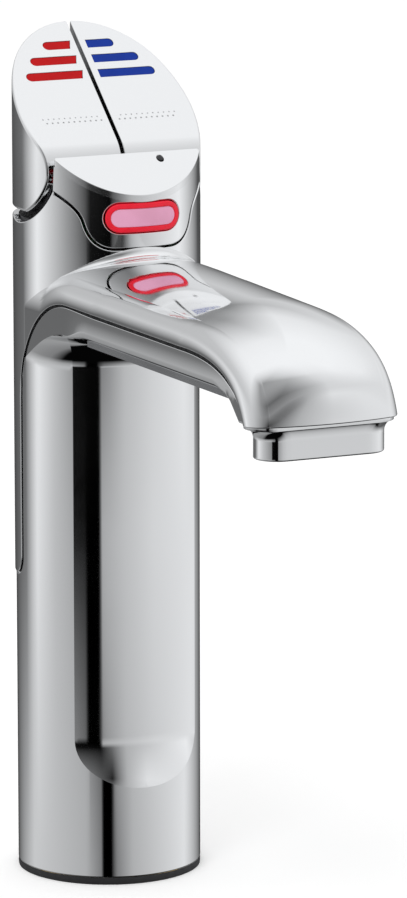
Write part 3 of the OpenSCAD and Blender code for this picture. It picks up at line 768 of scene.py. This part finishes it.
def rim_radius(y):
    """Rounding of the lever's rim where its side outline is at y."""
    return LEVER_RIM[0] + (LEVER_RIM[1] - LEVER_RIM[0]) * fade(y, 22, 6)


def lever_profile():
    """Side outline of a lever from the low back round the nose to the high back: y, z and normal."""
    c, s = math.cos(LEVER_SLOPE), math.sin(LEVER_SLOPE)
    n = (lever_face(PIVOT[0]) - PIVOT[1]) * c - NOSE_ROUND
    m = math.sqrt((NOSE_R - NOSE_ROUND)**2 - n * n)
    centre = (PIVOT[0] - m * c - n * s, PIVOT[1] + n * c - m * s)
    join = math.degrees(math.atan2(centre[1] - PIVOT[1], centre[0] - PIVOT[0])) % 360
    low = 360 - math.degrees(math.acos(-math.sqrt(NOSE_R**2 - (PIVOT[1] - LEVER_UNDER)**2) / NOSE_R))
    inner = LEVER_R - LEVER_RIM[0]
    last_y = math.sqrt(inner**2 - SLOT_X**2)
    out = [(last_y + (NOSE_FOOT_Y - last_y) * k / 14, LEVER_UNDER, (0, -1)) for k in range(15)]
    for centre_k, r, a0, a1, steps in ((PIVOT, NOSE_R, low, join, 14),
                                       (centre, NOSE_ROUND, join, 90 + math.degrees(LEVER_SLOPE), 22)):
        for k in range(steps + 1):
            a = math.radians(a0 + (a1 - a0) * k / steps)
            out.append((centre_k[0] + r * math.cos(a), centre_k[1] + r * math.sin(a),
                        (math.cos(a), math.sin(a))))
    nose_end = len(out) - 1
    first = math.asin((out[-1][0] + LEVER_RIM[0] * s) / inner)
    for k in range(1, 41):
        y_in = inner * math.sin(first + (math.asin(last_y / inner) - first) * k / 40)
        y = y_in - LEVER_RIM[0] * s
        out.append((y, lever_face(y), (-s, c)))
    return out, nose_end


def bar_outline(i, grow, ends):
    """Outline of one bar on the levers' face, counter-clockwise."""
    start, slant = ends
    h = BAR_H / 2 + grow
    x = BAR_ENDS[i] - BAR_H / 2
    b0 = (BAR_TOP_Y - BAR_STEP * i) / math.cos(LEVER_SLOPE)
    return ([(start + slant - grow, b0 - h)] + arc((x, b0), h, -90, 90, 14)
            + [(start - grow, b0 + h)])


def slerp(a, b, t):
    """Direction between a and b, at the share t of their angle."""
    angle = math.acos(max(-1.0, min(1.0, float(np.dot(a, b)))))
    if angle < 1e-6:
        return np.array(a)
    turned = math.sin((1 - t) * angle) * np.asarray(a) + math.sin(t * angle) * np.asarray(b)
    return turned / math.sin(angle)


def quarter(centre, r, start, end, steps):
    """Points and normals of a rounding from the direction start to the direction end."""
    turn = [slerp(start, end, k / steps) for k in range(steps + 1)]
    return [centre + r * t for t in turn], turn


def lever_rim(profile):
    """Rounded outer edge of a lever, and the line where its round wall begins."""
    rim, normals, wall = [], [], []
    for y, z, (ny, nz) in profile:
        r = rim_radius(y)
        cy, cz = y - r * ny, z - r * nz
        cx = math.sqrt(max((LEVER_R - r)**2 - cy**2, SLOT_X**2))
        points, turn = quarter(np.array([cx, cy, cz]), r, np.array([0, ny, nz]), unit((cx, cy, 0)), 8)
        rim.append(points)
        normals.append(turn)
        wall.append((SHELL_R * math.atan2(cx, -cy), cz))
    return rim, normals, wall


def slot_edge(profile):
    """Rounded edge of a lever beside the slot, and the outline of the slot's flat wall."""
    slot, normals, side = [], [], []
    for y, z, (ny, nz) in profile:
        cy, cz = y - SLOT_EDGE * ny, z - SLOT_EDGE * nz
        points, turn = quarter(np.array([SLOT_X, cy, cz]), SLOT_EDGE, np.array([0, ny, nz]), INWARDS, 4)
        slot.append(points)
        normals.append(turn)
        side.append((cy, cz))
    return slot, normals, side


def lever_back_edge(shape):
    """Rounded upright edge of a lever at the back of the slot."""
    y = math.sqrt((LEVER_R - SLOT_EDGE)**2 - SLOT_X**2)
    rows = [quarter(np.array([SLOT_X, y, z]), SLOT_EDGE, unit((SLOT_X, y, 0)), INWARDS, 4)
            for z in (LEVER_UNDER + 0.4, lever_face(y) - 0.7)]
    shape.grid([points for points, _turn in rows], [turn for _points, turn in rows])


def lever(ends):
    """The lever on the +X side, with holes for bars that end as given."""
    shape = Shape()
    profile, nose_end = lever_profile()
    rim, rim_n, wall = lever_rim(profile)
    slot, slot_n, side = slot_edge(profile)
    shape.grid(rim, rim_n)
    shape.grid(slot, slot_n)
    across = [[s[0], r[0]] for s, r in zip(slot, rim)][:nose_end + 1]
    shape.grid(across, [[n[0], n[0]] for n in rim_n[:nose_end + 1]])
    back = resample([wall[-1], wall[0]], 2.5)[1:-1]
    filled(shape, cylinder_chart(LEVER_R), [wall + back])
    filled(shape, lambda a, b, depth: (LEVER_GAP / 2, a, b), [side], normal=INWARDS, step=0)
    lever_back_edge(shape)
    # the slanted face, with a hole for each bar
    scale = 1 / math.cos(LEVER_SLOPE)
    edge = [(r[0][0], p[0] * scale) for r, p in zip(rim[nose_end:], profile[nose_end:])]
    slot_side = [(SLOT_X, p[0] * scale) for p in reversed(profile[nose_end:])]
    holes = [rounded_chain(shape, face_chart, bar_outline(i, 0.05, ends)[::-1], 0.15, 0.7, closed=True,
                           steps=2) for i in range(3)]
    filled(shape, face_chart, [edge + slot_side[1:]] + holes, step=0, normal=FACE_NORMAL)
    return shape


def bars(ends):
    """The three bars of the lever on the +X side."""
    shape = Shape()
    sunk = 0.15

    def place(a, b, depth):
        return face_chart(a, b, depth + sunk)

    for i in range(3):
        rim = rounded_chain(shape, place, bar_outline(i, -0.02, ends), 0.15, 0.5, closed=True, steps=3)
        filled(shape, place, [rim], step=0, normal=FACE_NORMAL)
    return shape


def etched_dots():
    """Two plain rows of small dots across the lever on the +X side, above the nose."""
    shape = Shape()
    for row, (b, r) in enumerate(DOT_ROWS):
        for i in range(DOTS):
            x = DOT_START + DOT_STEP * (i + row / 2)
            points = [face_chart(a, c, -0.012) for a, c in arc((x, b), r, 0, 330, 11)]
            shape.add(points, [FACE_NORMAL] * 12, [tuple(range(12))])
    return shape


# ---- front of the head ----

LAMP_AT = (10.7, -18.4)
LAMP_R = 1.1


def cap_chart(a, b, depth):
    return (a, b, cap_face(b) - depth)


def cap_outline():
    """Plan of the cap plate, counter-clockwise, with its two corners rounded."""
    r, y = SHELL_R, CAP_Y - CAP_CORNER
    x = math.sqrt((r - CAP_CORNER)**2 - y * y)
    turn = math.degrees(math.atan2(y, x))
    return resample(arc((0, 0), r, 180 - turn, 360 + turn, 50)
                    + arc((x, y), CAP_CORNER, turn, 90, 10)[1:]
                    + arc((-x, y), CAP_CORNER, 90, 180 - turn, 10)[:-1], 3)


def cap_plate():
    shape = Shape()
    lamp = arc(LAMP_AT, LAMP_R + 0.12, 360, 15, 23)
    normal = unit((0, -CAP_K, 1))
    edge = rounded_chain(shape, cap_chart, cap_outline(), 0.2, CAP_T, closed=True)
    hole = rounded_chain(shape, cap_chart, lamp, 0.12, 1.5, closed=True, steps=2)
    filled(shape, cap_chart, [edge, hole], normal=normal, step=0)
    return shape


def filter_lamp():
    """A slightly domed disc, square to the cap's face."""
    shape = Shape()
    c, s = math.cos(math.atan(CAP_K)), math.sin(math.atan(CAP_K))
    at = np.array([LAMP_AT[0], LAMP_AT[1], cap_face(LAMP_AT[1])])

    def place(a, b, depth):
        sunk = depth - 0.12 - 0.1 * (1 - (a * a + b * b) / LAMP_R**2)
        return at + np.array([a, b * c + sunk * s, b * s - sunk * c])

    rim = rounded_chain(shape, place, arc((0, 0), LAMP_R, 0, 345, 23), 0.2, 1.6, closed=True, steps=3)
    filled(shape, place, [rim], step=0.4)
    return shape


def oblong(w, h, z, r, steps=12):
    """Oblong on a cylinder's chart, counter-clockwise, as its straight projection from the front."""
    x = (w - h) / 2
    flat = (arc((x, z), h / 2, -90, 90, steps) + arc((-x, z), h / 2, 90, 270, steps))
    flat = resample(flat + [flat[0]], 1.6)[:-1]
    return [(chart_angle(px, r), pz) for px, pz in flat]


def safety_panel():
    shape = Shape()
    place = cylinder_chart(SHELL_R)
    side = [(chart_angle(x, SHELL_R), z) for x, z in panel_side(0)]
    top_y = [CAP_Y - (SHELL_R + CAP_Y) * k / 30 for k in range(31)]
    top = [(side_angle(y, SHELL_R), cap_face(y) - CAP_T) for y in top_y]
    side = [p for p in side if p[1] < np.interp(p[0], *zip(*reversed(top))) - 0.2]
    top = [p for p in top if p[0] < side[-1][0]]
    chain = mirror_points(side[1:])[::-1] + side
    rim = rounded_chain(shape, place, chain, EDGE, 1.8)
    hole = rounded_chain(shape, place, oblong(BUTTON_W + 0.6, BUTTON_H + 0.6, BUTTON_Z, SHELL_R)[::-1],
                         EDGE, 1.8, closed=True)
    upper = top + mirror_points(top[:-1])[::-1]
    filled(shape, place, [rim + upper, hole])
    return shape


def button_ring():
    shape = Shape()
    r = SHELL_R + BUTTON_PROUD
    place = cylinder_chart(r)
    outline = oblong(BUTTON_W, BUTTON_H, BUTTON_Z, r)
    outer = rounded_chain(shape, place, outline, 0.55, 3.5, True, steps=5)
    w, h = BUTTON_W - 2 * BUTTON_RIM, BUTTON_H - 2 * BUTTON_RIM
    hole = rounded_chain(shape, place, oblong(w, h, BUTTON_Z, r)[::-1], 0.35, 2, True)
    filled(shape, place, [outer, hole], step=0.9)
    return shape


def button_lens():
    shape = Shape()
    r = SHELL_R + LENS_PROUD
    place = cylinder_chart(r)
    w, h = BUTTON_W - 2 * BUTTON_RIM - 0.1, BUTTON_H - 2 * BUTTON_RIM - 0.1
    rim = rounded_chain(shape, place, oblong(w, h, BUTTON_Z, r), 0.3, 2.5, True)
    filled(shape, place, [rim])
    return shape


# ---- nozzle and gasket ----

def loft(shape, outlines, inwards=False):
    """Closed outlines of equal length joined upwards, each with its height."""
    rows = [[np.array([x, y, z]) for x, y in points] for points, z in outlines]
    normals = []
    for k, row in enumerate(rows):
        below, above = rows[max(k - 1, 0)], rows[min(k + 1, len(rows) - 1)]
        row_n = []
        for i in range(len(row)):
            n = unit(np.cross(row[(i + 1) % len(row)] - row[i - 1], above[i] - below[i]))
            row_n.append(-n if inwards else n)
        normals.append(row_n)
    shape.grid(rows, normals, closed=True)


def nozzle_outline(w, d):
    x = (w - d) / 2
    front, back = NOZZLE_Y - d / 2, NOZZLE_Y + d / 2
    across = np.linspace(-x, x, 16)[1:-1]
    return (arc((x, NOZZLE_Y), d / 2, -90, 90, 16) + [(a, back) for a in across[::-1]]
            + arc((-x, NOZZLE_Y), d / 2, 90, 270, 16) + [(a, front) for a in across])


def outlet_nozzle():
    shape = Shape()
    base = NOZZLE_Z
    corner = 0.5
    flare_z = SEAT_Z - NOZZLE_FLARE - 1.2
    outlines = [(nozzle_outline(NOZZLE_W - 3.6, NOZZLE_D - 3.6), base)]
    for k in range(7):
        a = math.pi / 2 * k / 6
        cut = corner * (1 - math.sin(a))
        outlines.append((nozzle_outline(NOZZLE_W - 2 * cut, NOZZLE_D - 2 * cut),
                         base + corner * (1 - math.cos(a))))
    outlines.append((nozzle_outline(NOZZLE_W, NOZZLE_D), base + corner + 0.3))
    outlines.append((nozzle_outline(NOZZLE_W, NOZZLE_D), flare_z - 0.3))
    for k in range(13):
        a = math.pi / 2 * k / 12
        grow = NOZZLE_FLARE * (1 - math.cos(a))
        outlines.append((nozzle_outline(NOZZLE_W + 2 * grow, NOZZLE_D + grow * 0.12),
                         flare_z + NOZZLE_FLARE * math.sin(a)))
    outlines.append((outlines[-1][0], SEAT_Z))
    loft(shape, outlines)
    mouth = [(nozzle_outline(NOZZLE_W - 4, NOZZLE_D - 4.1), z) for z in (base, base + 8)]
    loft(shape, mouth, inwards=True)
    return shape


def base_gasket():
    """A ring that bulges a little under the column."""
    shape = Shape()
    turns = [2 * math.pi * i / 96 for i in range(96)]
    # radius and height of each ring, then its normal outwards and upwards
    profile = [(BODY_R - 3, 0, 0.0, -1.0), (BODY_R - 0.5, 0, 0.2, -1.0)]
    for k in range(9):
        a = math.pi * k / 8
        profile.append((BODY_R - 0.15 + 0.1 * math.sin(a), 0.15 + (GASKET_T - 0.2) * k / 8,
                        1.0, -0.15 * math.cos(a)))
    shape.grid([ring(r, z, turns) for r, z, _out, _up in profile],
               [ring(out, up, turns) for _r, _z, out, up in profile], closed=True)
    return shape


# ---- materials ----

def set_inputs(tree, node, values):
    """Gives sockets, by name or number, a value or a link from another socket."""
    for key, value in values.items():
        if isinstance(value, bpy.types.NodeSocket):
            tree.links.new(value, node.inputs[key])
        else:
            node.inputs[key].default_value = value


def add_node(tree, kind, values):
    node = tree.nodes.new("ShaderNode" + kind)
    set_inputs(tree, node, values)
    return node


def set_shader(mat, values):
    set_inputs(mat.node_tree, mat.node_tree.nodes["Principled BSDF"], values)


def noise_value(tree, scale, detail):
    """A noise texture on the piece's own coordinates."""
    coords = add_node(tree, "TexCoord", {})
    values = {"Scale": scale, "Detail": detail, "Vector": coords.outputs["Object"]}
    return add_node(tree, "TexNoise", values).outputs["Fac"]


def link_noise(mat, scale, detail, low, high, socket):
    """Noise between low and high on a socket, which are numbers or colours."""
    tree = mat.node_tree
    ramp = add_node(tree, "ValToRGB", {"Fac": noise_value(tree, scale, detail)})
    for element, value, place in zip(ramp.color_ramp.elements, (low, high), (0.3, 0.7)):
        element.color = (*value, 1) if isinstance(value, tuple) else (value, value, value, 1)
        element.position = place
    set_shader(mat, {socket: ramp.outputs["Color"]})


def link_bump(mat, scale, detail, height):
    """Fine relief, height in metres."""
    tree = mat.node_tree
    values = {"Strength": 1.0, "Distance": height, "Height": noise_value(tree, scale, detail)}
    set_shader(mat, {"Normal": add_node(tree, "Bump", values).outputs["Normal"]})


finish = {}


def material(name, colour, rough, metal=0.0, noise=(), bump=(), more=None):
    """A principled material.

    noise and bump hold what link_noise and link_bump take, and more the values of further sockets.
    """
    mat = bpy.data.materials.new(name)
    mat.use_nodes = True
    set_shader(mat, {"Base Color": (*colour, 1), "Roughness": rough, "Metallic": metal, **(more or {})})
    if noise:
        link_noise(mat, *noise)
    if bump:
        link_bump(mat, *bump)
    finish[name] = mat
    return mat


def polished(name, colour, rough, noise, bump):
    material(name, colour, rough, 1.0, (*noise, "Roughness"), bump)


def cast_metal(name, colour, rough):
    material(name, colour, rough, 1.0, (500, 4, rough * 0.8, rough * 1.2, "Roughness"), (1000, 3, 0.00001))


def moulded(name, colour, darker, rough):
    material(name, colour, rough, 0.0, (120, 2, darker, colour, "Base Color"), (700, 2, 0.00001))


def enamel(name, colour, darker):
    material(name, colour, 0.4, 0.0, (90, 2, darker, colour, "Base Color"), (700, 1, 0.000004),
             {"Specular IOR Level": 0.12})


polished("chrome", (0.93, 0.935, 0.94), 0.05, (35, 3, 0.035, 0.075), (60, 1, 0.000004))
polished("satin_chrome", (0.9, 0.905, 0.91), 0.13, (60, 3, 0.11, 0.15), (80, 1, 0.000003))
polished("cover_chrome", (0.8, 0.81, 0.83), 0.16, (40, 2, 0.14, 0.2), (90, 1, 0.000004))
cast_metal("etched", (0.5, 0.5, 0.51), 0.5)
material("gasket_rubber", (0.018, 0.018, 0.02), 0.62, 0.0, (400, 3, 0.5, 0.72, "Roughness"),
         (1500, 2, 0.00001))
cast_metal("brass_insert", (0.78, 0.56, 0.25), 0.32)
cast_metal("steel", (0.6, 0.6, 0.61), 0.28)
moulded("cast_frame", (0.05, 0.05, 0.055), (0.035, 0.035, 0.04), 0.6)
enamel("red_enamel", (0.53, 0.004, 0.006), (0.46, 0.003, 0.005))
enamel("blue_enamel", (0.005, 0.036, 0.32), (0.004, 0.029, 0.27))
material("button_red", (0.76, 0.01, 0.03), 0.3, 0.0,
         (150, 2, (0.7, 0.007, 0.024), (0.82, 0.012, 0.036), "Base Color"), (900, 1, 0.000003),
         {"Emission Color": (0.9, 0.012, 0.035, 1), "Emission Strength": 0.1, "Specular IOR Level": 0.3})
moulded("lamp_red", (0.25, 0.012, 0.012), (0.2, 0.008, 0.008), 0.35)
material("button_pink", (0.8, 0.38, 0.55), 0.35, 0.0,
         (120, 2, (0.77, 0.36, 0.52), (0.84, 0.4, 0.58), "Base Color"), (900, 1, 0.000003),
         {"Specular IOR Level": 0.3})
moulded("black_plastic", (0.02, 0.02, 0.022), (0.014, 0.014, 0.016), 0.42)
moulded("circuit_board", (0.02, 0.16, 0.06), (0.015, 0.12, 0.045), 0.4)
cast_metal("copper_tube", (0.8, 0.42, 0.28), 0.3)
moulded("plastic_tube", (0.6, 0.62, 0.64), (0.52, 0.54, 0.57), 0.4)

# ---- pieces ----

CHILLED, BOILING = "chilled_side", "boiling_side"

piece("housing_shell", upper_housing(), "root", ["upper_housing"], "chrome")
casting, groove_shade = column_body()
piece("column_casting", casting, "root", ["column_body"], "chrome")
# the dark strip in the groove: painted shade, given the dark rubber's look
piece("spout_groove_shade", groove_shade, "root", [], "gasket_rubber")
piece("nozzle", outlet_nozzle(), "root", ["outlet_nozzle"], "chrome")
piece("foot_gasket", base_gasket(), "root", ["base_gasket"], "gasket_rubber")
piece("cap", cap_plate(), "root", ["cap_plate"], "satin_chrome")
piece("lamp", filter_lamp(), "root", ["filter_lamp"], "black_plastic")
piece("panel", safety_panel(), "root", ["safety_panel"], "chrome")
piece("button_rim", button_ring(), "button", ["safety_button"], "button_red")
piece("button_window", button_lens(), "button", ["button_lens"], "button_pink")
piece("lever_chilled", lever(CHILLED_ENDS), CHILLED, ["chilled_lever"], "satin_chrome")
piece("bars_blue", bars(CHILLED_ENDS), CHILLED, ["chilled_bars"], "blue_enamel")
piece("dots_chilled", etched_dots(), CHILLED, [], "satin_chrome", "etched")
piece("dots_boiling", etched_dots().mirrored(), BOILING, [], "satin_chrome", "etched")
piece("lever_boiling", lever(BOILING_ENDS).mirrored(), BOILING, ["boiling_lever"], "satin_chrome")
piece("bars_red", bars(BOILING_ENDS).mirrored(), BOILING, ["boiling_bars"], "red_enamel")

shown_nodes = {
    "cover_chrome": ["spout_cover"],
    "black_plastic": ["outlet_insert", "cable_grommet", "signal_lead", "lever_sensors", "safety_switch"],
    "brass_insert": ["base_insert"],
    "steel": ["base_screws", "frame_screws", "pivot_shaft", "shaft_clips", "boiling_spring",
              "chilled_spring", "boiling_magnet", "chilled_magnet"],
    "cast_frame": ["pivot_frame"],
    "circuit_board": ["sensor_board", "control_board"],
    "copper_tube": ["boiling_tube", "vent_tube"],
    "plastic_tube": ["chilled_tube"],
    "lamp_red": ["button_lamps"],
}
for look, nodes in shown_nodes.items():
    for name in nodes:
        node = frame["nodes"][name]
        node.data.materials.clear()
        node.data.materials.append(finish[look])
        "button_red" if look == "lamp_red" else look

# ---- camera ----

CAMERA_AT = (-0.7972, -1.7949, 0.5266)
FORWARD = Vector((0.41245, 0.89016, -0.19376))
ROLL = math.radians(0.086)
FOCAL = 246.14              # for a sensor of 36 mm


def photo_camera():
    data = bpy.data.cameras.new("photo_camera")
    data.lens = FOCAL
    data.sensor_width = 36
    data.clip_start = 0.01
    camera = new_object("photo_camera", data)
    right = FORWARD.cross(Vector((0, 0, 1))).normalized()
    up = right.cross(FORWARD).normalized()
    x = math.cos(ROLL) * right - math.sin(ROLL) * up
    y = math.sin(ROLL) * right + math.cos(ROLL) * up
    turn = Matrix((x, y, -FORWARD.normalized())).transposed()
    camera.matrix_world = Matrix.Translation(CAMERA_AT) @ turn.to_4x4()
    bpy.context.scene.camera = camera


photo_camera()

# ---- studio ----

SCREEN_GAMMA = 2.2
TINT = (0.99, 1.0, 1.015)   # of the greys
EVEN_LEVEL = 0.82           # light that is not mirrored

# The room seen in the chrome: for each elevation, the grey at a few azimuths. Azimuth 0 is towards
# the photographer and grows to the right of the picture; all in degrees, greys as seen on a screen.
ROOM = [
    (-30, [(-130, 0.6), (-80, 0.5), (-60, 0.05), (75, 0.05), (95, 0.4), (170, 0.3)]),
    (-15, [(-165, 0.3), (-110, 0.8), (-30, 0.7), (-10, 0.5), (-8, 0), (3, 0), (10, 0.5), (30, 0.7),
           (110, 0.9), (165, 0.3)]),
    (-12, [(-165, 0.3), (-125, 0.45), (-100, 0.9), (-70, 0.75), (-25, 0.6), (-24, 0), (5, 0), (7, 0.7),
           (60, 0.85), (115, 0.9), (165, 0.3)]),
    (-9, [(-165, 0.3), (-125, 0.4), (-95, 0.95), (-50, 0.6), (-20, 0.1), (5, 0.05), (15, 0.4),
          (30, 0.7), (100, 0.95), (150, 0.3)]),
    (12, [(-180, 0.8), (-165, 0.6), (-130, 0.8), (-100, 0.9), (-50, 0.75), (-10, 0.5), (16, 0.1),
          (30, 0.7), (50, 0.9), (150, 0.9), (180, 0.8)]),
    (22, [(-180, 0.75), (-172, 0.45), (-160, 0.5), (-145, 0.75), (-60, 0.8), (-10, 0.55), (10, 0.5),
          (30, 0.7), (50, 0.85), (160, 0.9), (180, 0.75)]),
    (34, [(-180, 0.92), (-165, 0.6), (-150, 0.75), (-60, 0.85), (-20, 0.55), (5, 0.4), (30, 0.7),
          (50, 0.85), (110, 0.95), (180, 0.92)]),
    (60, [(-60, 0.95), (-25, 0.6), (5, 0.7), (40, 0.88), (90, 0.98)]),
    (85, [(0, 0.98)]),
]


def math_node(tree, kind, a, b):
    """A math node on two sockets or numbers; returns its result."""
    node = add_node(tree, "Math", {0: a, 1: b})
    node.operation = kind
    return node.outputs[0]


def azimuth_share(tree, x, y):
    """Azimuth of a ray, from 0 to 1 with 0.5 towards the camera."""
    def turned(kind, a, b):
        """a times the cosine of the camera's direction, plus or minus b times its sine."""
        a, b = (math_node(tree, "MULTIPLY", value, by) for value, by in ((a, c), (b, s)))
        return math_node(tree, kind, a, b)

    towards = math.atan2(CAMERA_AT[1], CAMERA_AT[0])
    c, s = math.cos(towards), math.sin(towards)
    turn = math_node(tree, "ARCTAN2", turned("SUBTRACT", y, x), turned("ADD", x, y))
    return math_node(tree, "ADD", math_node(tree, "MULTIPLY", turn, 1 / (2 * math.pi)), 0.5)


def band(tree, share, stops):
    """Colour of the room at one elevation, over the azimuth."""
    ramp = add_node(tree, "ValToRGB", {"Fac": share})
    elements = ramp.color_ramp.elements
    elements.remove(elements[1])
    for k, (azimuth, grey) in enumerate(stops):
        element = elements[0] if k == 0 else elements.new(azimuth / 360 + 0.5)
        element.position = azimuth / 360 + 0.5
        element.color = (*(grey**SCREEN_GAMMA * part for part in TINT), 1)
    return ramp.outputs["Color"]


def room_colour(tree):
    """Colour of the room in a ray's direction, blended between the bands by the ray's height."""
    ray = add_node(tree, "TexCoord", {})
    x, y, z = add_node(tree, "SeparateXYZ", {0: ray.outputs["Generated"]}).outputs
    share = azimuth_share(tree, x, y)
    seen = band(tree, share, ROOM[0][1])
    for (below, _stops), (elevation, stops) in zip(ROOM, ROOM[1:]):
        rise = add_node(tree, "MapRange", {"Value": z, "From Min": math.sin(math.radians(below)),
                                           "From Max": math.sin(math.radians(elevation))})
        mix = add_node(tree, "Mix", {"Factor": rise.outputs["Result"]})
        mix.data_type = "RGBA"
        set_inputs(tree, mix, {6: seen, 7: band(tree, share, stops)})
        seen = mix.outputs[2]
    return seen


def background(tree, colour):
    return add_node(tree, "Background", {"Color": colour}).outputs[0]


def pick(tree, is_kind, other, kind):
    """One light for a kind of ray and another light for the other rays."""
    return add_node(tree, "MixShader", {0: is_kind, 1: other, 2: kind}).outputs[0]


def world():
    """White for the camera; a room of soft bands for mirror rays; even light for the rest."""
    w = bpy.data.worlds.new("studio")
    bpy.context.scene.world = w
    w.use_nodes = True
    tree = w.node_tree
    tree.nodes.clear()
    ray = add_node(tree, "LightPath", {}).outputs
    even = background(tree, (EVEN_LEVEL, EVEN_LEVEL, EVEN_LEVEL, 1))
    light = pick(tree, ray["Is Glossy Ray"], even, background(tree, room_colour(tree)))
    seen = pick(tree, ray["Is Camera Ray"], light, background(tree, (1, 1, 1, 1)))
    add_node(tree, "OutputWorld", {"Surface": seen})


def floor():
    mesh = bpy.data.meshes.new("floor")
    half = 3.0
    mesh.from_pydata([(-half, -half, 0), (half, -half, 0), (half, half, 0), (-half, half, 0)], [],
                     [(0, 1, 2, 3)])
    mesh.materials.append(material("floor_white", (0.97, 0.97, 0.97), 0.9, more={
        "Specular IOR Level": 0.1, "Emission Color": (1, 1, 1, 1), "Emission Strength": 0.2}))
    obj = new_object("floor", mesh)
    obj.visible_glossy = False


def key_lamp():
    data = bpy.data.lights.new("key", "AREA")
    data.shape = "DISK"
    data.size = 1.2
    data.energy = 14
    obj = new_object("key", data)
    obj.location = (-1.0, -1.2, 2.2)
    obj.rotation_euler = (Vector((0, 0, 0.1)) - obj.location).to_track_quat("-Z", "Y").to_euler()
    obj.visible_glossy = False


world()
floor()
key_lamp()
bpy.context.scene.view_settings.view_transform = "Standard"
